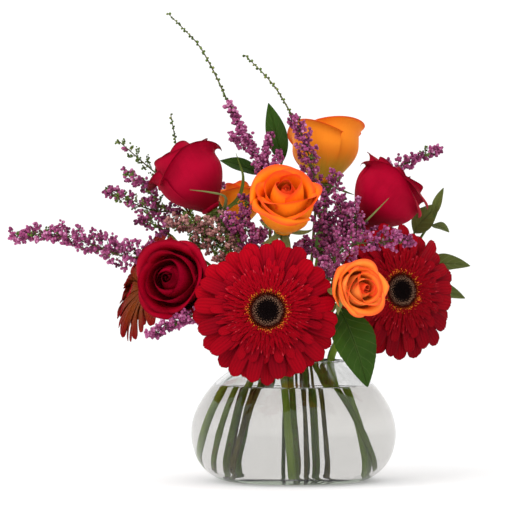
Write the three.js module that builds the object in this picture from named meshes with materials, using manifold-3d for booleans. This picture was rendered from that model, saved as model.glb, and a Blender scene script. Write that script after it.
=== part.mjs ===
// A florist's arrangement in a low round glass vase: three red gerberas, three red roses,
// four orange roses, sprays of purple heather and green foliage, standing in water.
// Millimetres, +Z up. The origin is the centre of the vase's flat foot, and the front of
// the arrangement faces -Y.
import * as THREE from "three";
import { mergeVertices } from "three/addons/utils/BufferGeometryUtils.js";
import Module from "manifold-3d";

const wasm = await Module();
wasm.setup();

const v3 = (x, y, z) => new THREE.Vector3(x, y, z);
const UP = v3(0, 0, 1);

// ---------------------------------------------------------------- driving dimensions

const GAP = 0.3; // between pieces that touch
const VASE_SIDES = 24;
const VASE_WALL = 3;
const VASE_FLOOR = 7; // height of the glass floor inside
const VASE_LIP = 95.5; // height of the middle of the rounded lip
const VASE_MOUTH = 40; // radius of the middle of the rounded lip
const LIP_RADIUS = 1.6;
const WATER_LEVEL = 76;
const WATER_EDGE = 2.5; // from the water's top edge to the glass
const PETAL_THICK = 0.8;
const DISC_RADIUS = 13.6; // of a gerbera's dark middle
const HUB_TOP = 6.6; // height in a gerbera at which its disc lies
const LEAF_THICK = 0.8;
const STEM_RADIUS = { rose: 2.2, gerbera: 2.6, heather: 1.2, leafy: 1.1 };
const SLIM = ["heather", "leafy"];
const TWIG_RADIUS = 0.9;
const SCRAP = 2; // cubic millimetres

// Half of the vase's outside, from the edge of its foot up to its lip, as [radius, height].
const VASE_OUTLINE = [
  [46, 0], [58, 1.4], [68.4, 7.4], [76.8, 17], [81.3, 30], [81.9, 42],
  [79.2, 54], [72.5, 67], [62, 80], [50.5, 89], [41.4, 96.4],
];

// A leaf from where its stalk leaves the stem, over the base of its blade to its tip, with the
// blade's full width and the way its upper face looks.
const sprig = (from, base, tip, width, facing) => ({ from, base, tip, width, facing });

// Roses: where the petals meet the stem, which way the bloom opens, the radius and height of
// its petals, where its stem passes the mouth of the vase and stands on the floor, and any
// leaves on the stem. A third number in `foot` is the height of a cut end above the floor.
const ROSES = {
  red_rose_upper_left: {
    colour: "red", base: v3(-64, -12, 216), axis: v3(-0.57, 0.08, 0.82), radius: 28, height: 56,
    neck: [-22, -3], foot: [-44, -4, 18], layers: "full",
  },
  red_rose_lower_left: {
    colour: "red", base: v3(-83, -37, 159), axis: v3(-0.36, -0.93, 0.08), radius: 29, height: 50,
    neck: [-30.5, -9], foot: [-56, -14, 17], layers: "full",
  },
  red_rose_right: {
    colour: "red", base: v3(53, 2, 204), axis: v3(0.65, -0.05, 0.75), radius: 31, height: 58,
    neck: [22, -2], foot: [53, -4], layers: "full",
  },
  orange_rose_top: {
    colour: "orange", base: v3(26, 34, 238), axis: v3(0.02, 0.22, 0.97), radius: 31, height: 52,
    neck: [9, 12], foot: [14, 24], layers: "full",
  },
  orange_rose_centre: {
    colour: "orange", base: v3(-8, -36, 200), axis: v3(0.04, -0.68, 0.73), radius: 26, height: 52,
    neck: [-3, -14], foot: [2, -24], layers: "full",
  },
  orange_rose_front: {
    colour: "orange", base: v3(38, -87.5, 152.5), axis: v3(0.52, -0.85, 0.1), radius: 21, height: 38,
    neck: [15, -30], foot: [60, -22, 15], layers: "small",
    leaves: [
      sprig(v3(23.4, -64, 149.5), v3(35, -73, 139), v3(56, -87, 79), 33, v3(0.35, -1, -0.1)),
    ],
  },
  orange_rose_hidden: {
    colour: "orange", base: v3(-44, 24, 203), axis: v3(0.02, -0.1, 0.99), radius: 18, height: 37,
    neck: [-14, 10], foot: [-36, 20], layers: "small",
  },
};

// Gerberas: the middle of the flower's back, which way it faces, its radius, how many florets
// each of its two long rings has, and how many short ones show in front of them.
const GERBERAS = {
  gerbera_front: {
    base: v3(-22, -93, 137), axis: v3(0.1, -0.98, 0.15), radius: 54.5, florets: 16, short: 11,
    neck: [-10, -29], foot: [-1, -42],
  },
  gerbera_right: {
    base: v3(81, -37, 152), axis: v3(0.46, -0.88, 0.1), radius: 52, florets: 14, short: 8,
    neck: [30, -14], foot: [52, -20],
  },
  gerbera_left: {
    base: v3(-118, 24, 156), axis: v3(-0.85, 0.3, 0.33), radius: 47, florets: 12, short: 0,
    neck: [-31, 8], foot: [-59, 14, 22],
  },
};

// Heather: a woody stem along `route`, a branch from its end to each spray, and the path of
// each spray's twig. `reach` is how far the bells stand out, and `tip` carries the twig on,
// green and bare but for small buds. A spray with no bells is all such a twig. `thick` is the
// radius of an old stem.
const HEATHERS = {
  heather_tall_left: {
    neck: [-12, -9], foot: [4, -6], route: [v3(-18, 2, 170), v3(-19, -3, 214)],
    sprays: {
      flowers: {
        path: [v3(-19, -5, 228), v3(-27, -4, 252), v3(-40, -2, 277), v3(-52, 0, 302)], reach: 7.5,
        tip: [v3(-64, 2, 328), v3(-76, 4, 349), v3(-87, 5, 361), v3(-101, 6, 375)],
      },
    },
  },
  heather_tall_middle: {
    neck: [6, 0], foot: [8, 2], route: [v3(14, 0, 170), v3(17, -4, 212)],
    sprays: {
      flowers: {
        path: [v3(17, -6, 226), v3(15, -6, 248), v3(9, -5, 270), v3(-1, -3, 292)], reach: 7.5,
        tip: [v3(-14, 0, 314), v3(-24, 2, 326), v3(-39, 4, 341)],
      },
      side: { path: [v3(23, -10, 222), v3(28, -12, 232), v3(34, -11, 244)], reach: 7 },
    },
  },
  heather_left: {
    neck: [-25, 4], foot: [-44, 8], route: [v3(-44, 4, 140), v3(-66, -6, 172), v3(-88, -18, 184)],
    sprays: {
      long: {
        path: [
          v3(-101, -26, 184), v3(-130, -32, 179), v3(-154, -30, 187), v3(-187, -26, 197), v3(-223, -20, 195),
        ],
        reach: 7.5,
      },
      middle: { path: [v3(-97, -10, 196), v3(-109, -8, 204), v3(-124, -10, 209)], reach: 7 },
    },
  },
  heather_upper_left: {
    neck: [-21, 14], foot: [-38, 26], route: [v3(-50, 26, 160), v3(-72, 34, 196), v3(-82, 34, 212)],
    sprays: {
      upper: {
        path: [v3(-93, 32, 226), v3(-107, 28, 243), v3(-124, 20, 258), v3(-141, 14, 273)],
        reach: 5.5,
      },
      lower: { path: [v3(-92, 26, 218), v3(-108, 14, 216), v3(-130, 8, 223), v3(-149, 5, 234)], reach: 7.5 },
      twig: { path: [v3(-87, 34, 226), v3(-92, 32, 250), v3(-95, 28, 272), v3(-99, 24, 295)] },
    },
  },
  heather_front_left: {
    neck: [-22, -22], foot: [-45, -32], route: [v3(-44, -46, 122), v3(-58, -68, 138)],
    sprays: {
      flowers: {
        path: [v3(-66, -79, 139), v3(-78, -87, 134), v3(-92, -94, 128), v3(-112, -98, 119)],
        reach: 6.5,
      },
    },
  },
  heather_centre_left: {
    neck: [-14, -19], foot: [-42, -24, 19], thick: 2.1, route: [v3(-26, -26, 140), v3(-36, -28, 166)],
    sprays: {
      brown: { path: [v3(-44, -34, 178), v3(-57, -40, 192), v3(-71, -45, 203), v3(-87, -48, 210)], reach: 8 },
      purple: {
        path: [v3(-37, -32, 180), v3(-38, -35, 196), v3(-39, -36, 212), v3(-38, -35, 226)],
        reach: 7,
      },
    },
  },
  heather_right: {
    neck: [20, 14], foot: [35, 18, 65], route: [v3(40, 40, 160), v3(58, 52, 214)],
    sprays: {
      flowers: { path: [v3(63, 52, 228), v3(75, 50, 244), v3(96, 45, 257), v3(119, 40, 267)], reach: 7 },
    },
  },
  heather_centre_right: {
    neck: [14, -14], foot: [24, -14], route: [v3(27, -20, 140), v3(31, -22, 160)],
    sprays: {
      upright: { path: [v3(31, -18, 178), v3(31, -16, 194), v3(29, -15, 212)], reach: 8.5 },
      side: { path: [v3(45, -26, 174), v3(50, -28, 188), v3(50, -30, 204), v3(46, -30, 222)], reach: 8 },
      front: {
        path: [v3(33, -44, 172), v3(37, -62, 184), v3(48, -76, 189), v3(68, -80, 191), v3(92, -82, 192)],
        reach: 8,
      },
      low: { path: [v3(26, -40, 163), v3(25, -54, 168), v3(23, -70, 175)], reach: 6.5 },
    },
  },
  heather_back_left: {
    neck: [-8, 24], foot: [6, 32], route: [v3(-26, 52, 150), v3(-38, 64, 184)],
    sprays: {
      flowers: { path: [v3(-44, 70, 198), v3(-50, 74, 216), v3(-62, 80, 238), v3(-74, 82, 258)], reach: 7.5 },
      side: { path: [v3(-32, 72, 194), v3(-20, 82, 206), v3(-8, 88, 224)], reach: 7 },
    },
  },
  heather_back_right: {
    neck: [12, 25], foot: [20, 42], route: [v3(36, 58, 140), v3(56, 74, 168)],
    sprays: {
      flowers: { path: [v3(62, 78, 178), v3(74, 82, 196), v3(86, 84, 214)], reach: 7.5 },
    },
  },
};

// Leafy stems: the stem's route above the mouth, and its leaves.
const LEAFY_STEMS = {
  ruscus_middle: {
    neck: [-4, 8], foot: [-6, 18], route: [v3(-12, 16, 170), v3(-15, 16, 220), v3(-11, 14, 250)],
    leaves: [
      sprig(v3(-11, 14, 250), v3(-9, 13, 256), v3(-20, 12, 303), 17, v3(0.1, -1, 0)),
      sprig(v3(-15, 16, 232), v3(-28, 16, 246), v3(-59, 20, 257), 14, v3(0.1, -0.8, 0.6)),
      sprig(v3(-14, 15, 238), v3(-20, 10, 242), v3(-26, 4, 258), 13, v3(-0.2, -1, 0.2)),
    ],
  },
  ruscus_right: {
    neck: [28, 2], foot: [48, 4],
    route: [v3(58, 17, 138), v3(88, 30, 168), v3(104, 26, 196), v3(113, 18, 210)],
    leaves: [
      sprig(v3(99, 28, 186), v3(98, 27, 199), v3(118, 20, 222), 19, v3(-0.3, -1, 0.3)),
      sprig(v3(113, 18, 210), v3(114, 17, 213), v3(121, 14, 235), 8, v3(-0.6, -1, 0)),
      sprig(v3(110, 21, 206), v3(112, 19, 205), v3(125, 6, 199), 10, v3(0, -0.6, 0.8)),
      sprig(v3(92, 30, 174), v3(106, 22, 172), v3(142, 8, 172), 17, v3(0.2, -0.8, 0.5)),
      sprig(v3(84, 29, 163), v3(100, 24, 154), v3(138, 10, 146), 18, v3(0.3, -0.8, 0.5)),
    ],
  },
  ruscus_back_left: {
    neck: [-17, 22], foot: [-38, 34], route: [v3(-42, 58, 124), v3(-66, 84, 144), v3(-80, 92, 158)],
    leaves: [
      sprig(v3(-80, 92, 158), v3(-83, 94, 161), v3(-112, 108, 186), 18, v3(-0.3, 0.6, 0.7)),
      sprig(v3(-62, 80, 140), v3(-60, 90, 146), v3(-52, 112, 182), 18, v3(0, 1, 0.5)),
      sprig(v3(-68, 85, 146), v3(-78, 80, 142), v3(-116, 84, 138), 17, v3(-0.2, 0.5, 0.8)),
      sprig(v3(-52, 70, 130), v3(-54, 80, 124), v3(-60, 112, 108), 17, v3(0, 0.6, 0.8)),
    ],
  },
  ruscus_back_right: {
    neck: [2, 31], foot: [10, 41], route: [v3(14, 66, 126), v3(22, 88, 152), v3(24, 96, 172)],
    leaves: [
      sprig(v3(24, 96, 172), v3(24, 97, 176), v3(30, 108, 214), 18, v3(0.1, 1, 0)),
      sprig(v3(20, 84, 147), v3(34, 90, 150), v3(68, 106, 158), 18, v3(0.2, 0.6, 0.8)),
      sprig(v3(18, 78, 140), v3(6, 88, 144), v3(-22, 108, 158), 18, v3(-0.1, 0.7, 0.7)),
      sprig(v3(15, 70, 131), v3(18, 82, 126), v3(24, 116, 106), 17, v3(0.1, 0.6, 0.8)),
    ],
  },
};

for (const bloom of [...Object.values(ROSES), ...Object.values(GERBERAS)]) bloom.axis.normalize();

// ---------------------------------------------------------------- materials

const material = (color, roughness, extra = {}) =>
  new THREE.MeshStandardMaterial({ color, roughness, metalness: 0, ...extra });

const GLASS = material(0xe8f0ec, 0.05, { transparent: true, opacity: 0.3 });
const WATER = material(0xdfe8e2, 0.02, { transparent: true, opacity: 0.25 });
const PETALS = {
  red: material(0xa8081c, 0.6),
  orange: material(0xe8731c, 0.55),
  gerbera: material(0xb80a1c, 0.65),
};
const DISC = material(0x1c100c, 0.85);
const STEM = material(0x5c7a2c, 0.55);
const WOOD = material(0x5a4630, 0.8);
const HEATHER = material(0x9c3f86, 0.7);
const TWIG = material(0x66702e, 0.75);
const LEAF = material(0x3c5c20, 0.45);

// ---------------------------------------------------------------- solids

// A closed geometry as a solid whose shared corners are merged.
function toSolid(geometry) {
  const bare = geometry.clone();
  for (const name of Object.keys(bare.attributes)) {
    if (name !== "position") bare.deleteAttribute(name);
  }
  const merged = mergeVertices(bare, 1e-4);
  return new wasm.Manifold(
    new wasm.Mesh({
      numProp: 3,
      vertProperties: merged.attributes.position.array,
      triVerts: new Uint32Array(merged.index.array),
    }),
  );
}

function toGeometry(solid) {
  const mesh = solid.getMesh();
  return new THREE.BufferGeometry()
    .setAttribute("position", new THREE.BufferAttribute(new Float32Array(mesh.vertProperties), 3))
    .setIndex(new THREE.BufferAttribute(new Uint32Array(mesh.triVerts), 1));
}

// Geometries joined in one body. A hollow that the joining seals is filled and a loose scrap
// is dropped, because only the largest closed surface is kept. A loose piece that is larger
// than a scrap is a leaf or a twig that misses its stem.
function fuse(geometries) {
  const joined = geometries.map(toSolid).reduce((body, solid) => body.add(solid));
  const [largest, ...loose] = joined.decompose().sort((a, b) => b.volume() - a.volume());
  if (loose.some((scrap) => Math.abs(scrap.volume()) > SCRAP)) throw new Error("a piece misses its stem");
  return toGeometry(largest);
}

// Carries what is made along +Z to its place, with its root at `base`.
function placing(base, axis) {
  return new THREE.Matrix4().compose(base, new THREE.Quaternion().setFromUnitVectors(UP, axis), v3(1, 1, 1));
}

// A thin blade on a grid: pointAt(u, v) is its middle surface, u across from -1 to 1 and v
// along from 0 to 1. Both faces are split into triangles along the same diagonals.
function blade(columns, rows, thick, pointAt) {
  const across = columns + 1;
  const count = across * (rows + 1);
  const front = [];
  const back = [];
  const step = 0.02;
  for (let j = 0; j <= rows; j++) {
    for (let i = 0; i <= columns; i++) {
      const u = (2 * i) / columns - 1;
      const v = j / rows;
      const alongU = pointAt(u + step, v).sub(pointAt(u - step, v));
      const alongV = pointAt(u, Math.min(1, v + step)).sub(pointAt(u, Math.max(0, v - step)));
      const half = alongU.cross(alongV).normalize().multiplyScalar(thick / 2);
      front.push(pointAt(u, v).add(half));
      back.push(pointAt(u, v).sub(half));
    }
  }
  const index = [];
  const at = (i, j) => j * across + i;
  const quad = (a, b, c, d) => index.push(a, b, c, a, c, d);
  for (let j = 0; j < rows; j++) {
    for (let i = 0; i < columns; i++) {
      const [a, b, c, d] = [at(i, j), at(i + 1, j), at(i + 1, j + 1), at(i, j + 1)];
      quad(a, b, c, d);
      index.push(count + c, count + b, count + a, count + d, count + c, count + a);
    }
  }
  for (let i = 0; i < columns; i++) {
    quad(count + at(i, 0), count + at(i + 1, 0), at(i + 1, 0), at(i, 0));
    quad(at(i, rows), at(i + 1, rows), count + at(i + 1, rows), count + at(i, rows));
  }
  for (let j = 0; j < rows; j++) {
    quad(at(0, j), at(0, j + 1), count + at(0, j + 1), count + at(0, j));
    quad(count + at(columns, j), count + at(columns, j + 1), at(columns, j + 1), at(columns, j));
  }
  return new THREE.BufferGeometry().setFromPoints([...front, ...back]).setIndex(index);
}

// A round solid about +Z from [radius, height] pairs that start and end on the axis, listed
// from the bottom up on the outside.
function turned(profile, sides) {
  const points = profile.map(([radius, height]) => new THREE.Vector2(radius, height));
  return new THREE.LatheGeometry(points, sides).rotateX(Math.PI / 2);
}

// A tube with flat ends through points, one ring of corners at each: radiusAt(k, i) is the
// radius of ring k at corner i.
function tube(points, radiusAt, sides) {
  const last = points.length - 1;
  const corners = [];
  const index = [];
  const side = v3(1, 0.31, 0.17);
  points.forEach((point, k) => {
    const along = points[Math.min(last, k + 1)].clone().sub(points[Math.max(0, k - 1)]).normalize();
    side.sub(along.clone().multiplyScalar(side.dot(along))).normalize();
    const across = along.clone().cross(side);
    for (let i = 0; i < sides; i++) {
      const angle = (2 * Math.PI * i) / sides;
      const radius = radiusAt(k, i);
      corners.push(point.clone()
        .addScaledVector(side, radius * Math.cos(angle))
        .addScaledVector(across, radius * Math.sin(angle)));
    }
  });
  for (let k = 0; k < last; k++) {
    for (let i = 0; i < sides; i++) {
      const [a, b] = [k * sides + i, k * sides + ((i + 1) % sides)];
      index.push(a, b, b + sides, a, b + sides, a + sides);
    }
  }
  for (let i = 1; i < sides - 1; i++) {
    index.push(0, i + 1, i);
    index.push(last * sides, last * sides + i, last * sides + i + 1);
  }
  return new THREE.BufferGeometry().setFromPoints(corners).setIndex(index);
}

// ---------------------------------------------------------------- vase and water

const vaseOutside = new THREE.SplineCurve(VASE_OUTLINE.map(([r, z]) => new THREE.Vector2(r, z)));

// The inner surface as [radius, height]: one wall inside the outside, but never lower than
// the glass floor, from the floor up to the lip.
function vaseInside(rows) {
  const points = [];
  for (let i = 0; i <= rows; i++) {
    const t = 0.16 + (0.82 * i) / rows;
    const place = vaseOutside.getPoint(t);
    const slope = vaseOutside.getTangent(t);
    points.push([place.x - slope.y * VASE_WALL, Math.max(VASE_FLOOR, place.y + slope.x * VASE_WALL)]);
  }
  points[0] = [points[0][0] - 6, VASE_FLOOR];
  return points;
}

const INSIDE = vaseInside(24);

// Inner radius of the vase at a height.
function roomAt(z) {
  const above = INSIDE.findIndex(([, height]) => height > z);
  if (above <= 0) return above < 0 ? VASE_MOUTH - LIP_RADIUS : INSIDE[0][0];
  const [r0, z0] = INSIDE[above - 1];
  const [r1, z1] = INSIDE[above];
  return r0 + ((r1 - r0) * (z - z0)) / (z1 - z0);
}

function vaseGlass() {
  const outside = vaseOutside.getPoints(8).map((point) => [point.x, point.y]);
  const lip = [[VASE_MOUTH + 0.4, VASE_LIP + 1.4], [VASE_MOUTH - 1, VASE_LIP + 1.2]];
  const inside = vaseInside(6).reverse();
  return turned([[0, 0], ...outside, ...lip, ...inside, [0, VASE_FLOOR]], VASE_SIDES);
}

// Water up to its level, with a hole for each stem.
function water(strands) {
  const side = vaseInside(6)
    .map(([r, z]) => [r - 2 * GAP, Math.max(VASE_FLOOR + GAP, z)])
    .filter(([, z]) => z < WATER_LEVEL - 3);
  const top = roomAt(WATER_LEVEL) - WATER_EDGE;
  const profile = [[0, side[0][1]], ...side, [top, WATER_LEVEL], [0, WATER_LEVEL]];
  const body = toSolid(turned(profile, VASE_SIDES));
  const holes = strands.map(({ points: [start, end], radius, sides }) => {
    const below = start.clone().addScaledVector(end.clone().sub(start), -0.02);
    return toSolid(tube([below, end], () => radius + 1.4 * GAP, sides));
  });
  return toGeometry(holes.reduce((left, hole) => left.subtract(hole), body));
}

// ---------------------------------------------------------------- blooms, made along +Z

// Gerbera: a hub with a ring of long florets, a second ring half a step round, and a ring of
// short ones in front. A floret widens with its distance from the middle, so that it fits
// beside its neighbours, and is rounded off at its tip.
function gerberaPetals({ radius, florets, short }) {
  const hub = [[0, 0], [8, 0], [DISC_RADIUS, 3.4], [DISC_RADIUS + 0.8, HUB_TOP], [0, HUB_TOP]];
  const pieces = [turned(hub, 8)];
  const ring = (count, reach, root, height, rise, droop, start, rows, fill) => {
    const wedge = Math.tan((fill * Math.PI) / count);
    for (let i = 0; i < count; i++) {
      const angle = (2 * Math.PI * (i + start)) / count;
      const long = reach * (1 - 0.03 * (1 + Math.sin(5.3 * i + 4 * start)));
      pieces.push(blade(1, rows, PETAL_THICK, (u, v) => {
        const out = root + (long - root) * Math.min(1, v * 1.6 - 0.6 * v * v);
        const half = (v < 1 ? 1 : 0.5) * wedge * out;
        const lift = height + rise * Math.sin(v * Math.PI * 0.6) - droop * v * v;
        return v3(out, half * u, lift).applyAxisAngle(UP, angle);
      }));
    }
  };
  ring(florets, radius, 8.4, 1.2, 2, 5, 0, 2, 0.9);
  ring(florets, 0.94 * radius, 8.4, 3.3, 3, 4, 0.5, 2, 0.86);
  if (short) ring(short, 0.6 * radius, 12, 5.4, 4, 0, 0.2, 1, 0.5);
  return fuse(pieces);
}

// The disc: a low dome whose outer florets stand up as knobs.
function gerberaDisc() {
  const knobs = 8;
  const low = DISC_RADIUS - 0.8;
  const dome = turned([[0, 0], [low, 0], [DISC_RADIUS, 2], [0.64 * DISC_RADIUS, 2.2], [0, 3.2]], 2 * knobs);
  const place = dome.getAttribute("position");
  for (let i = 0; i < place.count; i++) {
    if (Math.hypot(place.getX(i), place.getY(i)) < low || place.getZ(i) < 1) continue;
    place.setZ(i, place.getZ(i) + 0.9 * Math.cos(knobs * Math.atan2(place.getX(i), place.getY(i))));
  }
  return dome;
}

// Petals of a rose from the heart outwards: how many, their radius and height as shares of
// the bloom's, how far the rim rolls out and the sides tuck, and the grid of each.
const ROSE_LAYERS = {
  full: [
    { count: 3, root: 3, out: 0.45, tall: 1, roll: 0, tuck: 0.17, columns: 2, rows: 2 },
    { count: 3, root: 4.8, out: 0.69, tall: 0.99, roll: 1, tuck: 0.17, columns: 2, rows: 2 },
    { count: 4, root: 6.6, out: 0.93, tall: 0.92, roll: 5, tuck: 0.09, columns: 3, rows: 3 },
  ],
  small: [
    { count: 3, root: 4, out: 0.55, tall: 1, roll: 1, tuck: 0.17, columns: 2, rows: 2 },
    { count: 4, root: 6, out: 0.9, tall: 0.93, roll: 4, tuck: 0.09, columns: 3, rows: 2 },
  ],
};

// A rose petal rises from the hub, bellies out and rolls its rim outwards. It is narrow at
// the root, and above that one side edge lies further out than the other, by `tuck`, so that
// the petals of a layer wrap round each other.
function rosePetal(angle, { count, root, out, tall, roll, tuck, columns, rows }, radius, height) {
  const half = Math.PI / count;
  return blade(columns, rows, PETAL_THICK, (u, v) => {
    const belly = Math.sin(Math.min(1, v * 1.2) * Math.PI * 0.5) ** 0.75;
    const curl = Math.max(0, v - 0.66) / 0.34;
    const turn = angle + u * half * (0.78 + 0.44 * Math.min(1, Math.max(0, (v - 0.2) * 2.5)));
    const lean = 1 + tuck * u * Math.min(1, 3 * v);
    const wide = (root + (out * radius - root) * belly) * lean + roll * curl * curl;
    const up = 2.5 + (tall * height - 2.5) * v * (1 - 0.1 * u * u * v) - 0.4 * roll * curl * curl;
    return v3(wide * Math.cos(turn), wide * Math.sin(turn), up);
  });
}

function roseBloom({ radius, height, layers }) {
  const hub = turned([[0, GAP / 2], [4.5, GAP / 2], [10.5, 4], [10.5, 5.5], [0, 5.5]], 6);
  const core = [[0, 4], [2, 4], [0.24 * radius, 0.5 * height], [0.2 * radius, 0.8 * height]];
  const heart = turned([...core, [0, 0.92 * height]], 5);
  const pieces = [hub, heart];
  ROSE_LAYERS[layers].forEach((layer, order) => {
    for (let i = 0; i < layer.count; i++) {
      const angle = (2 * Math.PI * (i + 0.43 * order)) / layer.count;
      pieces.push(rosePetal(angle, layer, radius, height));
    }
  });
  return fuse(pieces);
}

// The green cup under a rose, whose side runs out into five pointed sepals.
function roseCalyx({ base, axis, height, layers }) {
  const sepals = 5;
  const profile = [[0, -8], [2.2, -8], [4.6, -5], [5, -4], [5, -3.2], [4.6, -GAP / 2], [0, -GAP / 2]];
  const cup = turned(profile, 2 * sepals);
  const place = cup.getAttribute("position");
  for (let i = 0; i < place.count; i++) {
    const [x, y] = [place.getX(i), place.getY(i)];
    const across = Math.hypot(x, y);
    const pointed = Math.cos(sepals * Math.atan2(x, y)) > 0;
    if (across < 4.9 || !pointed) continue;
    const reach = ((layers === "full" ? 0.36 : 0.22) * height) / across;
    place.setXYZ(i, x * reach, y * reach, place.getZ(i) - 3);
  }
  return cup.applyMatrix4(placing(base, axis));
}

// The green cup of bracts under a gerbera.
const gerberaCalyx = ({ base, axis }) =>
  turned([[0, -9], [2.6, -9], [6.6, -4.5], [7.2, -GAP], [0, -GAP]], 9).applyMatrix4(placing(base, axis));

// ---------------------------------------------------------------- heather and leaves

const WHORL = 13; // distance between whorls of bells along a spray
const BELLS = 3; // bells in a whorl

const curveThrough = (path) => new THREE.CatmullRomCurve3(path, false, "centripetal");
const evenly = (path, steps) => curveThrough(path).getSpacedPoints(steps);
const whorlsOn = (path) => Math.round(curveThrough(path).getLength() / WHORL);

// A spray: between two waists a whorl of bells stands out of the twig all round, each whorl
// turned half a step against the one before and smaller towards the tip.
function heatherSpray(points, reach) {
  return tube(points, (k, i) => {
    const taper = 1 - (0.4 * k) / (points.length - 1);
    if (k % 2 === 0) return 1.5 * taper;
    const out = (i + (k - 1) / 2) % 2 === 0;
    return reach * taper * (out ? 1 : 0.4);
  }, 2 * BELLS);
}

// A bare twig with small buds that stand out on one side after another.
function buddedTwig(path) {
  const last = whorlsOn(path) + 1;
  return tube(evenly(path, last), (k, i) => {
    const taper = 1 - (0.35 * k) / last;
    return taper * TWIG_RADIUS * (k > 0 && k < last && i === k % 4 ? 2.4 : 1);
  }, 4);
}

// A leaf and its stalk in one blade, which arches from base to tip and folds along its rib.
function leaf({ from, base, tip, width, facing }) {
  const along = tip.clone().sub(base);
  const across = along.clone().cross(facing).normalize();
  const lift = across.clone().cross(along).normalize();
  return blade(2, 3, LEAF_THICK, (u, v) => {
    const onBlade = (v - 0.05) / 0.95;
    const half = v < 0.05 || v > 0.95 ? 0.6 : 0.5 * width * Math.sin(Math.PI * (0.12 + 0.7 * v));
    const place = 1.125 * onBlade - 0.125;
    const middle = onBlade < 0 ? from.clone() : base.clone().addScaledVector(along, place);
    const rib = onBlade < 0 ? 0 : 0.1 * along.length() * Math.sin(Math.PI * onBlade);
    return middle
      .addScaledVector(across, u * half)
      .addScaledVector(lift, rib + 0.2 * half * Math.abs(u));
  });
}

// ---------------------------------------------------------------- stems

const STRAIGHT = 0.91; // share of the way from the cut end to the mouth that is straight

// A stem's stations: its cut end clears the floor of the vase, it is straight in the water,
// leans in the mouth and follows its route. Bare wood and leafy twigs are slimmer.
function strand({ neck, foot, thick }, route, kind) {
  const radius = thick ?? STEM_RADIUS[kind];
  const mouth = v3(...neck, VASE_LIP + 3);
  const slope = Math.hypot(neck[0] - foot[0], neck[1] - foot[1]) / (mouth.z - VASE_FLOOR);
  const end = v3(foot[0], foot[1], foot[2] ?? VASE_FLOOR + 1.5 * GAP + radius * slope);
  const curve = curveThrough([end, mouth, ...route]);
  const surface = STRAIGHT / (route.length + 1);
  const slim = SLIM.includes(kind) && !thick;
  const above = slim ? 4 : 5;
  const stations = [end];
  for (let k = 0; k <= above; k++) stations.push(curve.getPoint(surface + ((1 - surface) * k) / above));
  return { radius, sides: slim ? 4 : 6, points: stations };
}

const stemOf = ({ points, radius, sides }) => tube(points, () => radius, sides);

// The leaf with its stalk brought to the nearest point on its stem's middle line.
function leafOn({ points }, facts) {
  const nearest = points.slice(1).map((end, k) =>
    new THREE.Line3(points[k], end).closestPointToPoint(facts.from, true, v3(0, 0, 0)));
  const from = nearest.reduce((a, b) => (a.distanceTo(facts.from) < b.distanceTo(facts.from) ? a : b));
  return leaf({ ...facts, from });
}

const group = new THREE.Group();

function add(name, geometry, look) {
  const mesh = new THREE.Mesh(geometry, look);
  mesh.name = name;
  group.add(mesh);
}

const strands = [];

for (const [name, rose] of Object.entries(ROSES)) {
  const route = [-28, -7].map((along) => rose.base.clone().addScaledVector(rose.axis, along));
  const stem = strand(rose, route, "rose");
  strands.push(stem);
  const leaves = (rose.leaves ?? []).map((facts) => leafOn(stem, facts));
  add(`${name}_stem`, fuse([stemOf(stem), roseCalyx(rose), ...leaves]), STEM);
  add(name, roseBloom(rose).applyMatrix4(placing(rose.base, rose.axis)), PETALS[rose.colour]);
}

for (const [name, gerbera] of Object.entries(GERBERAS)) {
  const route = [-28, -7].map((along) => gerbera.base.clone().addScaledVector(gerbera.axis, along));
  const stem = strand(gerbera, route, "gerbera");
  strands.push(stem);
  const place = placing(gerbera.base, gerbera.axis);
  add(`${name}_stem`, fuse([stemOf(stem), gerberaCalyx(gerbera)]), STEM);
  add(`${name}_petals`, gerberaPetals(gerbera).applyMatrix4(place), PETALS.gerbera);
  add(`${name}_disc`, gerberaDisc().translate(0, 0, HUB_TOP + GAP).applyMatrix4(place), DISC);
}

for (const [name, heather] of Object.entries(HEATHERS)) {
  const stem = strand(heather, heather.route, "heather");
  strands.push(stem);
  const fork = heather.route.at(-1);
  const pieces = [stemOf(stem)];
  for (const [part, { path, reach, tip }] of Object.entries(heather.sprays)) {
    if (!reach) {
      pieces.push(buddedTwig([fork, ...path]));
      continue;
    }
    const points = evenly(path, 2 * whorlsOn(path));
    const outward = points[1].clone().sub(points[0]).normalize();
    const bend = points[0].clone().addScaledVector(outward, -4);
    const end = points[0].clone().addScaledVector(outward, -GAP);
    pieces.push(tube([fork, bend, end], () => TWIG_RADIUS, 4));
    add(`${name}_${part}`, heatherSpray(points, reach), HEATHER);
    if (tip) {
      const onward = points.at(-1).clone().sub(points.at(-2)).normalize();
      const tipStart = points.at(-1).clone().addScaledVector(onward, GAP);
      const bendOver = tipStart.clone().addScaledVector(onward, 8);
      add(`${name}_${part}_tip`, buddedTwig([tipStart, bendOver, ...tip]), TWIG);
    }
  }
  add(`${name}_stem`, fuse(pieces), WOOD);
}

for (const [name, leafy] of Object.entries(LEAFY_STEMS)) {
  const stem = strand(leafy, leafy.route, "leafy");
  strands.push(stem);
  const leaves = leafy.leaves.map((facts) => leafOn(stem, facts));
  add(name, fuse([stemOf(stem), ...leaves]), LEAF);
}

add("vase", vaseGlass(), GLASS);
add("water", water(strands), WATER);

export default group;
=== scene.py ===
import math
from functools import partial

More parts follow.
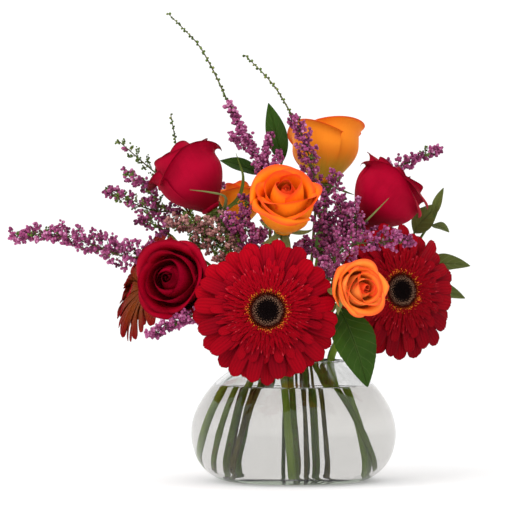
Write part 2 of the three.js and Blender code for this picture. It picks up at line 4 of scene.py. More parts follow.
import bpy
import numpy as np
from bpy.props import FloatProperty, FloatVectorProperty, IntProperty, PointerProperty
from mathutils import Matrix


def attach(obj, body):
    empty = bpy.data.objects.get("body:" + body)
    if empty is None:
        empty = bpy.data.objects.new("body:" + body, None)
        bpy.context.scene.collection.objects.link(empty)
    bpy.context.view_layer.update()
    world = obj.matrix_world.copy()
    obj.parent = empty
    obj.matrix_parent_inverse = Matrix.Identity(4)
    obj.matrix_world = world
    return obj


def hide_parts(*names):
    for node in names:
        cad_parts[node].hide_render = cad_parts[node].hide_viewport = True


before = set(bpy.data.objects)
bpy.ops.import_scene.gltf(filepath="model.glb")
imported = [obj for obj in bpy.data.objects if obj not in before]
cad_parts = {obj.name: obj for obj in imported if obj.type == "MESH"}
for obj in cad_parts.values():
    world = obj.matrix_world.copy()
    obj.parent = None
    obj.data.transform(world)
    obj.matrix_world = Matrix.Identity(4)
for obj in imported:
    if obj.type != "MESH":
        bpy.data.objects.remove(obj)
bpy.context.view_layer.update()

bl_info = {
    "name": "Gerbera and rose arrangement",
    "version": (1, 0, 0),
    "blender": (4, 5, 0),
    "location": "3D View > Sidebar > Bouquet",
    "description": "Builds an arrangement of gerberas, roses and heather in a glass vase",
    "category": "Object",
}

MM = 0.001
GOLDEN = math.pi * (3 - math.sqrt(5))  # the turn from one floret, petal or shoot to the next
SHARP = math.radians(65)  # faces that meet more sharply than this show an edge
EYE_RIGHT, EYE_HEIGHT = -0.03, 0.18  # the camera's place beside the vase's axis, in metres
LAMP_PLACE, LAMP_SIZE = (-0.9, -1.3, 1.9), 1.6  # the large soft light, in metres

# ---------------------------------------------------------------- places, in millimetres

GAP = 0.3  # between pieces that touch
VASE_WALL = 3
VASE_FLOOR = 7  # height of the glass floor inside
VASE_LIP = 95.5  # height of the middle of the rounded lip
VASE_MOUTH = 40  # radius of the middle of the rounded lip
FOOT_TOP, FOOT_EDGE = 4, 45  # below and outside these, the glass is thick and tinted dark green: partly its own green, partly painted reflection of the dark surroundings and stems
WATER_LEVEL = 76
GLASS_INDEX, WATER_INDEX = 1.5, 1.33  # how strongly each bends light
TWIG_RADIUS = 0.9
NECK = VASE_LIP + 3  # height at which the stems pass the mouth
STRAIGHT = 0.91  # share of a stem's height up to the neck in which it is straight
STEM_LINE_UP = (28, 7)  # distances below a bloom at which its stem is in line with it

# Each kind of stem: its radius, how many corners it has round it and the seed of its first.
STEMS = {"rose": (2.2, 14, 0), "gerbera": (2.6, 16, 40), "heather": (1.2, 8, 60), "leafy": (1.1, 8, 80)}

# Half of the vase's outside from the edge of its foot up to its lip, as (radius, height).
VASE_OUTLINE = [
    (46, 0), (58, 1.4), (68.4, 7.4), (76.8, 17), (81.3, 30), (81.9, 42),
    (79.2, 54), (72.5, 67), (62, 80), (50.5, 89), (41.4, 96.4),
]

# Roses: where the petals meet the stem, which way the bloom opens, the petals' radius and
# height, where the stem passes the mouth and stands on the floor, how many petals, how far
# they are open (0 to 1), and the way round the stem that the outermost petal faces. A third
# number in `foot` is the height of a cut end above the floor, and `point` is how far the rim
# falls away to its sides where that doesn't follow from `open`.
ROSES = {
    "red_rose_upper_left": dict(
        colour="red", base=(-64, -12, 216), axis=(-0.57, 0.08, 0.82), radius=28, height=56,
        neck=(-22, -3), foot=(-44, -4, 18), petals=13, open=0.05, face=-1.25),
    "red_rose_lower_left": dict(
        colour="red", base=(-83, -37, 159), axis=(-0.36, -0.93, 0.08), radius=29, height=52,
        neck=(-30.5, -9), foot=(-56, -14, 17), petals=15, open=0.4, face=0.13, point=0.36),
    "red_rose_right": dict(
        colour="red", base=(53, 2, 204), axis=(0.65, -0.05, 0.75), radius=31, height=58,
        neck=(22, -2), foot=(53, -4), petals=14, open=0.1, face=-1.9),
    "orange_rose_top": dict(
        colour="ochre", base=(26, 34, 238), axis=(0.02, 0.22, 0.97), radius=31, height=52,
        neck=(9, 12), foot=(14, 24), petals=13, open=0.1, face=-2.45),
    "orange_rose_centre": dict(
        colour="orange", base=(-8, -36, 200), axis=(0.04, -0.68, 0.73), radius=26, height=52,
        neck=(-3, -14), foot=(2, -24), petals=14, open=0.4, face=-2.0),
    "orange_rose_front": dict(
        colour="peach", base=(38, -87.5, 152.5), axis=(0.52, -0.85, 0.1), radius=21, height=38,
        neck=(15, -30), foot=(60, -22, 15), petals=16, open=0.7, face=3.0, point=0.42),
    "orange_rose_hidden": dict(
        colour="orange", base=(-44, 24, 203), axis=(0.02, -0.1, 0.99), radius=18, height=37,
        neck=(-14, 10), foot=(-36, 20), petals=10, open=0.1, face=-1.6),
}

# Long sepals that curl over a bloom: the line of each and its width.
CURLED_SEPALS = {
    "red_rose_upper_left": [
        ([(-60, -16, 212), (-54, -34, 221), (-55, -43, 227), (-67, -46, 230), (-82, -42, 232)], 2.4),
        ([(-60, -18, 211), (-66, -26, 213), (-76, -30, 208), (-82, -30, 204)], 3),
        ([(-58, -12, 214), (-44, -18, 226), (-40, -20, 242), (-44, -20, 256), (-46, -18, 262)], 3.2),
    ],
    "red_rose_right": [
        ([(53, -3, 203), (55, -24, 206), (62, -34, 213), (70, -36, 221), (75, -35, 226)], 3),
        ([(53, -3, 203), (46, -16, 206), (38, -22, 214), (33, -22, 222)], 3.2),
    ],
}


def sprig(start, base, tip, width, facing, teeth=0):
    """A leaf from where its stalk leaves the stem, over the base of its blade to its tip."""
    return dict(start=start, base=base, tip=tip, width=width, facing=facing, teeth=teeth)


ROSE_LEAVES = {
    "orange_rose_front": [
        sprig((23.4, -64, 149.5), (35, -73, 139), (56, -87, 79), 33, (0.35, -1, -0.1), teeth=17),
    ],
}

# Gerberas: the middle of the flower's back, which way it faces and its radius, how many florets
# stand in a ring, and `deep` for a darker copy of the florets' colours: painted shade for a
# flower that faces away from the light.
GERBERAS = {
    "gerbera_front": dict(
        base=(-22, -93, 137), axis=(0.1, -0.98, 0.15), radius=54.5, florets=17,
        neck=(-10, -29), foot=(-1, -42)),
    "gerbera_right": dict(
        base=(81, -37, 152), axis=(0.46, -0.88, 0.1), radius=52, florets=17,
        neck=(30, -14), foot=(52, -20), deep=True),
    "gerbera_left": dict(
        base=(-118, 24, 156), axis=(-0.85, 0.3, 0.33), radius=47, florets=16,
        neck=(-31, 8), foot=(-59, 14, 22)),
}

# Heather: a woody stem along its route, a branch from its end to each spray, and the path of
# each spray. `reach` is how far the bells stand out, `full` and `thin` change that and the gaps
# between shoots, a low `taper` narrows a spray sooner, `green` is the share that is in bud,
# `faded` is for brown bells, `also` are twigs beside the first, and `tip` carries the twig on in
# bud. A spray without `reach` is a bare twig in bud, and `thick` is the stem's own radius.
HEATHERS = {
    "heather_tall_left": dict(
        neck=(-12, -9), foot=(4, -6), route=[(-18, 2, 170), (-19, -3, 214)],
        sprays={"flowers": dict(
            path=[(-19, -5, 228), (-27, -4, 252), (-40, -2, 277), (-52, 0, 302)], reach=7.5, full=1.0,
            also=[[(-27, -4, 251), (-22, -6, 262), (-18, -7, 278)],
                  [(-22, -5, 240), (-14, -8, 252), (-11, -9, 263)],
                  [(-36, -3, 268), (-46, -4, 273), (-50, -4, 278)]],
            tip=[(-64, 2, 328), (-76, 4, 349), (-87, 5, 361), (-101, 6, 375)])}),
    "heather_tall_middle": dict(
        neck=(6, 0), foot=(8, 2), route=[(14, 0, 170), (17, -4, 212)],
        sprays={"flowers": dict(
            path=[(17, -6, 226), (15, -6, 248), (9, -5, 270), (-1, -3, 292)], reach=7.5,
            tip=[(-14, 0, 314), (-24, 2, 326), (-39, 4, 341)]),
            "side": dict(path=[(23, -10, 222), (28, -12, 232), (34, -11, 244)], reach=7, full=2.0)}),
    "heather_left": dict(
        neck=(-25, 4), foot=(-44, 8), route=[(-44, 4, 140), (-66, -6, 172), (-88, -18, 184)],
        sprays={"long": dict(
            path=[(-101, -26, 184), (-130, -32, 179), (-154, -30, 187), (-187, -26, 197),
                  (-223, -20, 195)], reach=8.5, full=2.0, thin=0.75, taper=1.0),
            "middle": dict(path=[(-97, -10, 196), (-109, -8, 204), (-124, -10, 209)], reach=7,
                           green=0.2, full=1.5)}),
    "heather_upper_left": dict(
        neck=(-21, 14), foot=(-38, 26), route=[(-50, 26, 160), (-72, 34, 196), (-82, 34, 212)],
        sprays={
            "upper": dict(path=[(-93, 32, 226), (-107, 28, 243), (-124, 20, 258),
                                (-141, 14, 273)], reach=5.5, green=0.75, full=1.7, thin=1.8),
            "lower": dict(path=[(-92, 26, 218), (-108, 14, 216), (-130, 8, 223),
                                (-149, 5, 234)], reach=7.5, green=0.4, full=1.6,
                          also=[[(-106, 16, 218), (-120, 10, 236), (-136, 6, 247)],
                                [(-92, 26, 218), (-90, 18, 209), (-84, 12, 201)]]),
            "twig": dict(path=[(-87, 34, 226), (-92, 32, 250), (-95, 28, 272), (-99, 24, 295)]),
        }),
    "heather_front_left": dict(
        neck=(-22, -22), foot=(-45, -32), route=[(-44, -46, 122), (-58, -68, 138)],
        sprays={"flowers": dict(path=[(-66, -79, 139), (-78, -87, 134), (-92, -94, 128),
                                      (-112, -98, 119)], reach=6.5, full=1.5)}),
    "heather_centre_left": dict(
        neck=(-14, -19), foot=(-42, -24, 19), thick=2.1,
        route=[(-26, -26, 140), (-36, -28, 166)],
        sprays={
            "brown": dict(path=[(-44, -34, 178), (-57, -40, 192), (-71, -45, 203),
                                (-87, -48, 210)], reach=8, faded=True, green=0.5, full=1.9, thin=0.75,
                          also=[[(-57, -40, 190), (-66, -40, 188), (-82, -44, 192)],
                                [(-50, -36, 184), (-52, -34, 200), (-60, -30, 212)],
                                [(-62, -42, 194), (-80, -38, 202), (-98, -32, 207)],
                                [(-44, -34, 178), (-50, -44, 178), (-62, -50, 180)]]),
            "purple": dict(path=[(-37, -32, 180), (-38, -35, 196), (-39, -36, 212),
                                 (-38, -35, 226)], reach=7, full=1.8,
                           also=[[(-38, -35, 192), (-46, -40, 200), (-52, -42, 212)],
                                 [(-38, -33, 186), (-30, -36, 192), (-24, -38, 196)]]),
        }),
    "heather_right": dict(
        neck=(20, 14), foot=(35, 18, 65), route=[(40, 40, 160), (58, 52, 214)],
        sprays={"flowers": dict(path=[(63, 52, 228), (75, 50, 244), (96, 45, 257),
                                      (119, 40, 267)], reach=7)}),
    "heather_centre_right": dict(
        neck=(14, -14), foot=(24, -14), route=[(27, -20, 140), (31, -22, 160)],
        sprays={
            "upright": dict(path=[(31, -18, 178), (31, -16, 194), (29, -15, 212)], reach=8.5, full=1.9,
                            also=[[(31, -16, 190), (22, -18, 204), (20, -16, 222)],
                                  [(31, -16, 186), (38, -20, 200), (42, -18, 216)],
                                  [(30, -20, 178), (18, -34, 184), (4, -40, 190)]]),
            "side": dict(path=[(45, -26, 174), (50, -28, 188), (50, -30, 204), (46, -30, 222)],
                         reach=8, full=1.9,
                         also=[[(48, -28, 190), (40, -20, 206), (36, -16, 226)],
                               [(48, -28, 186), (58, -24, 194), (64, -20, 200)]]),
            "front": dict(path=[(33, -44, 172), (37, -62, 184), (48, -76, 189), (68, -80, 191),
                                (92, -82, 192)], reach=8, full=2.1),
            "low": dict(path=[(26, -40, 163), (25, -54, 168), (23, -70, 175)], reach=6.5, full=1.5),
        }),
    "heather_back_left": dict(
        neck=(-8, 24), foot=(6, 32), route=[(-26, 52, 150), (-38, 64, 184)],
        sprays={
            "flowers": dict(path=[(-44, 70, 198), (-50, 74, 216), (-62, 80, 238),
                                  (-74, 82, 258)], reach=7.5),
            "side": dict(path=[(-32, 72, 194), (-20, 82, 206), (-8, 88, 224)], reach=7),
        }),
    "heather_back_right": dict(
        neck=(12, 25), foot=(20, 42), route=[(36, 58, 140), (56, 74, 168)],
        sprays={"flowers": dict(path=[(62, 78, 178), (74, 82, 196), (86, 84, 214)],
                                reach=7.5)}),
}

# Stems of leaves, each with its route above the mouth, and `pale` for olive leaves.
LEAFY_STEMS = {
    "ruscus_middle": dict(
        neck=(-4, 8), foot=(-6, 18), route=[(-12, 16, 170), (-15, 16, 220), (-11, 14, 250)],
        leaves=[
            sprig((-11, 14, 250), (-9, 13, 256), (-20, 12, 303), 17, (0.1, -1, 0)),
            sprig((-15, 16, 232), (-28, 16, 246), (-59, 20, 257), 14, (0.1, -0.8, 0.6)),
            sprig((-14, 15, 238), (-20, 10, 242), (-26, 4, 258), 13, (-0.2, -1, 0.2)),
        ]),
    "ruscus_right": dict(
        neck=(28, 2), foot=(48, 4), pale=True,
        route=[(58, 17, 138), (88, 30, 168), (104, 26, 196), (113, 18, 210)],
        leaves=[
            sprig((99, 28, 186), (98, 27, 199), (118, 20, 222), 19, (-0.3, -1, 0.3)),
            sprig((113, 18, 210), (114, 17, 213), (121, 14, 235), 8, (-0.6, -1, 0)),
            sprig((110, 21, 206), (112, 19, 205), (125, 6, 199), 10, (0, -0.6, 0.8)),
            sprig((92, 30, 174), (106, 22, 172), (142, 8, 172), 17, (0.2, -0.8, 0.5)),
            sprig((84, 29, 163), (100, 24, 154), (138, 10, 146), 18, (0.3, -0.8, 0.5)),
        ]),
    "ruscus_back_left": dict(
        neck=(-17, 22), foot=(-38, 34), route=[(-42, 58, 124), (-66, 84, 144), (-80, 92, 158)],
        leaves=[
            sprig((-80, 92, 158), (-83, 94, 161), (-112, 108, 186), 18, (-0.3, 0.6, 0.7)),
            sprig((-62, 80, 140), (-60, 90, 146), (-52, 112, 182), 18, (0, 1, 0.5)),
            sprig((-68, 85, 146), (-78, 80, 142), (-116, 84, 138), 17, (-0.2, 0.5, 0.8)),
            sprig((-52, 70, 130), (-54, 80, 124), (-60, 112, 108), 17, (0, 0.6, 0.8)),
        ]),
    "ruscus_back_right": dict(
        neck=(2, 31), foot=(10, 41), route=[(14, 66, 126), (22, 88, 152), (24, 96, 172)],
        leaves=[
            sprig((24, 96, 172), (24, 97, 176), (30, 108, 214), 18, (0.1, 1, 0)),
            sprig((20, 84, 147), (34, 90, 150), (68, 106, 158), 18, (0.2, 0.6, 0.8)),
            sprig((18, 78, 140), (6, 88, 144), (-22, 108, 158), 18, (-0.1, 0.7, 0.7)),
            sprig((15, 70, 131), (18, 82, 126), (24, 116, 106), 17, (0.1, 0.6, 0.8)),
        ]),
}

# ---------------------------------------------------------------- surfaces


def unit(vectors):
    """Each vector over its own length."""
    vectors = np.asarray(vectors, float)
    return vectors / np.maximum(np.linalg.norm(vectors, axis=-1, keepdims=True), 1e-9)


def smooth(x, low, high):
    """0 below low, 1 above high, and 3t^2 - 2t^3 between them."""
    t = np.clip((x - low) / (high - low), 0, 1)
    return t * t * (3 - 2 * t)


def placed(points, base, axis):
    """Points made along +Z, turned the shortest way so that +Z lies along axis, and moved to base.

    The turn is the identity plus K plus K squared over (1 + cos), where K is the cross-product
    matrix of +Z with the axis and cos is their dot product.
    """
    x, y, z = unit(axis)
    k = np.array([[0, 0, x], [0, 0, y], [-x, -y, 0]])
    turn = np.eye(3) + k + k @ k / (1 + z)
    return np.asarray(points) @ turn.T + np.asarray(base, float)


def flowing(knots, count):
    """`count` points evenly spaced along the centripetal Catmull-Rom curve through the knots.

    Each span is a cubic whose end slopes come from the neighbouring knots, weighted by the
    square roots of the distances between them.
    """
    knots = np.asarray(knots, float)
    p = np.vstack([2 * knots[0] - knots[1], knots, 2 * knots[-1] - knots[-2]])
    spans = len(knots) - 1
    t = np.linspace(0, spans, 50 * spans + 1)
    span = np.minimum(t.astype(int), spans - 1)
    w = (t - span)[:, None]
    p0, p1, p2, p3 = (p[span + k] for k in range(4))
    pairs = ((p0, p1), (p1, p2), (p2, p3))
    d0, d1, d2 = (np.sqrt(np.linalg.norm(b - a, axis=1, keepdims=True)) for a, b in pairs)
    m1 = ((p1 - p0) / d0 - (p2 - p0) / (d0 + d1) + (p2 - p1) / d1) * d1
    m2 = ((p2 - p1) / d1 - (p3 - p1) / (d1 + d2) + (p3 - p2) / d2) * d1
    fine = p1 + m1 * w + (3 * (p2 - p1) - 2 * m1 - m2) * w**2 + (2 * (p1 - p2) + m1 + m2) * w**3
    return spaced(fine, count)


def spaced(points, count):
    """`count` points at equal distances along a line of points."""
    far = np.concatenate([[0], np.cumsum(np.linalg.norm(np.diff(points, axis=0), axis=1))])
    at = np.linspace(0, far[-1], count)
    return np.stack([np.interp(at, far, points[:, k]) for k in range(3)], axis=1)


def round_turn(count):
    """`count` even angles once round."""
    return np.linspace(0, 2 * np.pi, count, endpoint=False)


def sheet_grid(rows, columns, start=-1.0):
    """Across each sheet u, from start to its opposite, and along it v from 0 to 1."""
    return np.linspace(start, -start, columns)[None, None, :], np.linspace(0, 1, rows)[None, :, None]


def about_axis(angle, out, side, lift):
    """Points `out` from the axis towards the angle, `side` square to that and `lift` up it."""
    x, y = np.cos(angle), np.sin(angle)
    return np.stack([out * x - side * y, out * y + side * x, lift + 0 * side], axis=-1)


def sides_of(path):
    """Two directions square to a path at each of its points, and the path's own direction.

    The first is the direction most square to the whole path, less its part along the path.
    """
    along = unit(np.gradient(path, axis=0))
    steady = np.linalg.svd(along)[2][-1]
    side = unit(steady - (along @ steady)[:, None] * along)
    return side, np.cross(along, side), along


def tube(path, radius, sides):
    """Rings round a path: each point plus radius times (cos a, sin a) in the plane square to it."""
    side, across, _ = sides_of(path)
    a = round_turn(sides)[None, :, None]
    wide = np.broadcast_to(np.asarray(radius, float).reshape(-1, 1, 1), (len(path), 1, 1))
    return (path[:, None] + wide * (np.cos(a) * side[:, None] + np.sin(a) * across[:, None]))[None]


def turned(profile, sides):
    """Rings about +Z from (radius, height) pairs listed from the bottom up on the outside."""
    profile = np.asarray(profile, float)
    a = round_turn(sides)
    r, z = profile[:, :1], profile[:, 1:]
    return np.stack([r * np.cos(a), r * np.sin(a), z + 0 * a], axis=-1)[None]


def new_object(name, data):
    """An object that holds the data, in the scene."""
    added = bpy.data.objects.new(name, data)
    bpy.context.scene.collection.objects.link(added)
    return added


class Shape:
    """Closed surfaces gathered into one mesh.

    Each corner carries `grain`: how far across its surface it is (-1 to 1), how far along
    (0 to 1) and the surface's own shade (0 to 1); and `inner`, which is 1 on a sheet's back.
    """

    def __init__(self):
        self.corners, self.grain, self.inner = [], [], []
        self.quads, self.triangles, self.quad_looks, self.triangle_looks = [], [], [], []
        self.count = 0

    def add(self, corners, grain, quads, triangles, look, inner=None):
        self.corners.append(corners.reshape(-1, 3))
        self.grain.append(grain.reshape(-1, 3))
        self.inner.append(np.zeros(len(self.corners[-1])) if inner is None else inner.ravel())
        kinds = (self.quads, self.quad_looks, quads), (self.triangles, self.triangle_looks, triangles)
        for faces, looks, new in kinds:
            faces.append(np.asarray(new, int).reshape(-1, new.shape[-1]) + self.count)
            looks.append(np.broadcast_to(look if new is quads else np.ravel(look)[0], len(faces[-1])))
        self.count += len(self.corners[-1])

    def sheets(self, middle, thick, shade, look=0):
        """Thin closed sheets about their middle surfaces, an array of (sheets, rows, columns, 3).

        Each face lies half the thickness from the middle along the cross product of the
        directions across and along, and thins to a third of that at the edges.
        """
        k, m, n, _ = middle.shape
        normal = unit(np.cross(np.gradient(middle, axis=2), np.gradient(middle, axis=1)))
        u = np.broadcast_to(np.linspace(-1, 1, n)[None, None, :], (k, m, n))
        v = np.broadcast_to(np.linspace(0, 1, m)[None, :, None], (k, m, n))
        edge = np.maximum(np.abs(u), v) ** 8
        half = 0.5 * thick * (1 - 0.66 * edge)[..., None] * normal
        corners = np.stack([middle + half, middle - half], axis=1)
        tone = np.broadcast_to(np.asarray(shade, float).reshape(-1, 1, 1), (k, m, n))
        grain = np.broadcast_to(np.stack([u, v, tone], axis=-1)[:, None], corners.shape)
        inner = np.broadcast_to(np.arange(2.0)[None, :, None, None], corners.shape[:-1])
        at = np.arange(m * n).reshape(m, n)
        a, b, c, d = at[:-1, :-1], at[:-1, 1:], at[1:, 1:], at[1:, :-1]
        front = np.stack([a, b, c, d], axis=-1).reshape(-1, 4)
        back = np.stack([d, c, b, a], axis=-1).reshape(-1, 4) + m * n
        ring = np.concatenate([at[0, :-1], at[:-1, -1], at[-1, :0:-1], at[:0:-1, 0]])
        onward = np.roll(ring, -1)
        rim = np.stack([onward, ring, ring + m * n, onward + m * n], axis=-1)
        one = np.vstack([front, back, rim])
        quads = one[None] + (2 * m * n * np.arange(k))[:, None, None]
        self.add(corners, grain, quads, np.zeros((0, 3), int), look, inner)

    def rings(self, grid, shade, look=0):
        """Closed solids from rings of corners, an array of (solids, rings, corners, 3).

        Each end is shut by a fan round the middle of its ring. `look` is one look for all, or
        one for each band between two rings.
        """
        k, m, n, _ = grid.shape
        poles = np.stack([grid[:, 0].mean(axis=1), grid[:, -1].mean(axis=1)], axis=1)
        corners = np.concatenate([grid.reshape(k, m * n, 3), poles], axis=1)
        u = np.broadcast_to(np.cos(round_turn(n))[None, None], (k, m, n)).reshape(k, -1)
        v = np.broadcast_to(np.linspace(0, 1, m)[None, :, None], (k, m, n)).reshape(k, -1)
        tone = np.broadcast_to(np.asarray(shade, float).reshape(-1, 1), (k, m * n + 2))
        u = np.concatenate([u, np.zeros((k, 2))], axis=1)
        v = np.concatenate([v, np.tile([0.0, 1.0], (k, 1))], axis=1)
        at = np.arange(m * n).reshape(m, n)
        onward = np.roll(at, -1, axis=1)
        side = np.stack([at[:-1], onward[:-1], onward[1:], at[1:]], axis=-1).reshape(-1, 4)
        low = np.stack([np.full(n, m * n), onward[0], at[0]], axis=-1)
        high = np.stack([np.full(n, m * n + 1), at[-1], onward[-1]], axis=-1)
        start = ((m * n + 2) * np.arange(k))[:, None, None]
        look = np.tile(np.repeat(look, n), k) if np.ndim(look) else look
        caps = np.vstack([low, high])[None] + start
        self.add(corners, np.stack([u, v, tone], axis=-1), side[None] + start, caps, look)

    def piece(self, name, slot, looks, *nodes):
        """Puts the surfaces into a mesh object that rides on the root and stands for the nodes."""
        corners = np.vstack(self.corners) * MM
        quads, triangles = np.vstack(self.quads), np.vstack(self.triangles)
        loops = np.concatenate([quads.ravel(), triangles.ravel()])
        sizes = np.concatenate([np.full(len(quads), 4), np.full(len(triangles), 3)])
        mesh = bpy.data.meshes.new(name)
        mesh.vertices.add(len(corners))
        mesh.vertices.foreach_set("co", corners.ravel())
        mesh.loops.add(len(loops))
        mesh.loops.foreach_set("vertex_index", loops)
        mesh.polygons.add(len(sizes))
        mesh.polygons.foreach_set("loop_start", np.cumsum(sizes) - sizes)
        for look in looks:
            mesh.materials.append(look)
        picked = np.concatenate(self.quad_looks + self.triangle_looks).astype(np.int32)
        mesh.polygons.foreach_set("material_index", picked)
        mesh.polygons.foreach_set("use_smooth", np.ones(len(sizes), bool))
        grain = mesh.attributes.new("grain", "FLOAT_VECTOR", "POINT")
        grain.data.foreach_set("vector", np.vstack(self.grain).ravel())
        inner = mesh.attributes.new("inner", "FLOAT", "POINT")
        inner.data.foreach_set("value", np.concatenate(self.inner))
        mesh.update(calc_edges=True)
        mesh.set_sharp_from_angle(angle=SHARP)
        if mesh.validate():
            raise RuntimeError(f"{name} has faces that don't close")
        piece = new_object(name, mesh)
        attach(piece, "root")
        if nodes:
            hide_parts(*nodes)


# ---------------------------------------------------------------- materials


class Value:
    """A socket of a material's nodes that can stand in sums."""

    def __init__(self, finish, socket):
        self.finish, self.socket = finish, socket

    def __add__(self, other):
        return self.finish.maths("ADD", self, other)

    def __sub__(self, other):
        return self.finish.maths("SUBTRACT", self, other)

    def __rsub__(self, other):
        return self.finish.maths("SUBTRACT", other, self)

    def __mul__(self, other):
        return self.finish.maths("MULTIPLY", self, other)

    def __pow__(self, other):
        return self.finish.maths("POWER", self, other)

    __radd__ = __add__


class Finish:
    """One material: a Principled shader, and what varies over the surface."""

    def __init__(self, name, **constants):
        self.material = bpy.data.materials.new(name)
        self.material.use_nodes = True
        self.tree = self.material.node_tree
        self.shader = self.tree.nodes["Principled BSDF"]
        if "Emission_Strength" in constants:
            self.shader.inputs["Emission Color"].default_value = (1, 1, 1, 1)
        for socket, value in constants.items():
            self.shader.inputs[socket.replace("_", " ")].default_value = value

    def node(self, kind, settings=None, inputs=None, output=0):
        """Any node: its settings first, then the values or links of its sockets."""
        node = self.tree.nodes.new(kind)
        for key, value in (settings or {}).items():
            if key == "stops":
                ramp = node.color_ramp
                while len(ramp.elements) < len(value):
                    ramp.elements.new(1)
                for element, (place, colour) in zip(ramp.elements, value):
                    element.position = place
                    element.color = (*colour, 1)
            else:
                setattr(node, key, value)
        for key, value in (inputs or {}).items():
            if isinstance(value, Value):
                self.tree.links.new(value.socket, node.inputs[key])
            else:
                node.inputs[key].default_value = value
        return Value(self, node.outputs[output])

    def maths(self, operation, a, b=0.0):
        return self.node("ShaderNodeMath", {"operation": operation}, {0: a, 1: b})

    def between(self, value, low, high):
        """0 below low and 1 above high, with an even curve between them."""
        settings = {"interpolation_type": "SMOOTHSTEP"}
        return self.node("ShaderNodeMapRange", settings, {"Value": value, "From Min": low, "From Max": high})

    def mix(self, a, b, factor):
        """The colour a where the factor is 0, and b where it is 1."""
        a, b = (colour if isinstance(colour, Value) else (*colour, 1) for colour in (a, b))
        return self.node("ShaderNodeMix", {"data_type": "RGBA"}, {0: factor, 6: a, 7: b}, output=2)

    def grain(self):
        """How far across and along the surface, and the surface's own shade."""
        vector = self.node("ShaderNodeAttribute", {"attribute_name": "grain"}, output="Vector")
        return [self.node("ShaderNodeSeparateXYZ", None, {0: vector}, output=k) for k in range(3)]

    def back(self):
        """1 on a sheet's back and 0 on its front."""
        return self.node("ShaderNodeAttribute", {"attribute_name": "inner"}, output="Fac")

    def place(self):
        return self.node("ShaderNodeTexCoord", output="Object")

    def noise(self, vector, scale, detail=2.0):
        return self.node("ShaderNodeTexNoise", None, {"Vector": vector, "Scale": scale, "Detail": detail})

    def streaks(self, across, along, shade, fine, long):
        """Noise drawn out along the surface: `fine` streaks across it, each 1/`long` of its length.

        The surface's own shade moves them, so that no two surfaces have the same ones.
        """
        spread = {0: across * fine, 1: along * long, 2: shade * 37.0}
        vector = self.node("ShaderNodeCombineXYZ", None, spread)
        return self.noise(vector, 1.0)

    def drive(self, socket, value):
        self.tree.links.new(value.socket, self.shader.inputs[socket])

    def bump(self, height, distance):
        bumped = {"Height": height, "Distance": distance, "Strength": 1.0}
        self.drive("Normal", self.node("ShaderNodeBump", None, bumped))

    def layered(self, colour, *layers):
        """The colour with others laid over it in turn, each where its factor is high."""
        for over, factor in layers:
            colour = self.mix(colour, over, factor)
        return colour

    def done(self, colour, roughness, height, distance):
        """The material, once its colour, its roughness and its fine relief are set."""
        self.drive("Base Color", colour)
        self.drive("Roughness", roughness)
        self.bump(height, distance)
        return self.material


def darker(colour, share):
    """A colour with each part at a share of itself."""
    return tuple(share * c for c in colour)


def petal_finish(name, colours, rim, blush, **constants):
    """A petal: root, body, rim and inner face colours, with faint streaks that run along it.

    The rim's colour also spreads over the petals of the heart: in the red roses, whose rim colour
    is dark, this is painted shade deep in the bloom; in the orange roses it reddens the heart.
    """
    root, body, rim_colour, inner = colours
    finish = Finish(name, **constants)
    across, along, shade = finish.grain()
    streak = finish.streaks(across, along, shade, 11, 1.1)
    mottle = finish.noise(finish.place(), 70)
    side = finish.maths("ABSOLUTE", across) ** 5 * finish.between(along, 0.35, 0.85)
    # the heart's petals take the rim colour: in the red roses this is painted shade deep in the bloom
    edge = finish.maths("MAXIMUM", side, along ** 3) + finish.between(shade, 0.6, 1.1) * 0.6
    colour = finish.layered(
        root,
        (body, finish.between(along + streak * 0.14, 0.08, 0.5)),
        (inner, finish.back() * 0.85),
        (rim_colour, finish.between(mottle + streak * 0.5, 0.62, 1.05) * blush),
        (rim_colour, finish.between(edge + mottle * 0.14, 1.02 - 2 * rim, 1.1)))
    return finish.done(colour, 0.5 + mottle * 0.2, streak + mottle * 0.5, 0.0001)


def floret_finish(name, colours):
    """A gerbera floret: dark at the root, bright towards the tip, with faint grooves. Its grooves and
    edges are darkened as painted shade between the florets.

    Those low down are darker than those at the top: painted shade, away from the light above. The
    back reddens towards the tip.
    """
    root, body, tip, light, back = colours
    finish = Finish(name, Specular_IOR_Level=0.04)
    across, along, shade = finish.grain()
    groove = finish.maths("SINE", across * 7.8) ** 2.0
    streak = finish.streaks(across, along, shade, 6, 1.0)
    height = finish.node("ShaderNodeSeparateXYZ", None, {0: finish.place()}, output=2)
    dark = darker(body, 0.3)
    behind = finish.mix(back, tip, finish.between(along + streak * 0.5, 0.55, 1.35))
    colour = finish.layered(
        root,
        (body, finish.between(along + streak * 0.2, 0.05, 0.6)),
        (tip, finish.between(along + streak * 0.3 + shade * 0.4, 0.75, 1.45)),
        # painted shade: darker in the grooves and at each floret's edges, between the florets
        (dark, groove * 0.25 + finish.maths("ABSOLUTE", across) ** 6.0 * 0.5),
        # painted shade: florets low down darker than those at the top, away from the light above
        (dark, 0.35 - finish.between(height, 0.09, 0.19) * 0.35),
        (behind, finish.back() * (0.6 + streak * 0.4)),
        (light, finish.between(shade, 1.6, 1.88) * finish.between(along, 0.86, 0.98)))
    return finish.done(colour, 0.5 + streak * 0.2, streak * 0.5 - groove * 0.7, 0.00018)


def stem_finish(name, low, high, spots, roughness=0.5):
    """A stem: green or woody, streaked along its length, with darker flecks."""
    finish = Finish(name, Specular_IOR_Level=0.15)
    across, along, shade = finish.grain()
    place = finish.place()
    fleck = finish.noise(place, 420, 3)
    cloud = finish.noise(place, 45)
    streak = finish.streaks(across, along, shade, 3.5, 9)
    colour = finish.layered(
        low,
        (high, finish.between(cloud * 0.6 + streak * 0.5, 0.3, 0.75)),
        (spots, finish.between(fleck, 0.54, 0.72) * 0.7))
    return finish.done(colour, roughness + fleck * 0.25, fleck * 0.7 + streak, 0.0003)


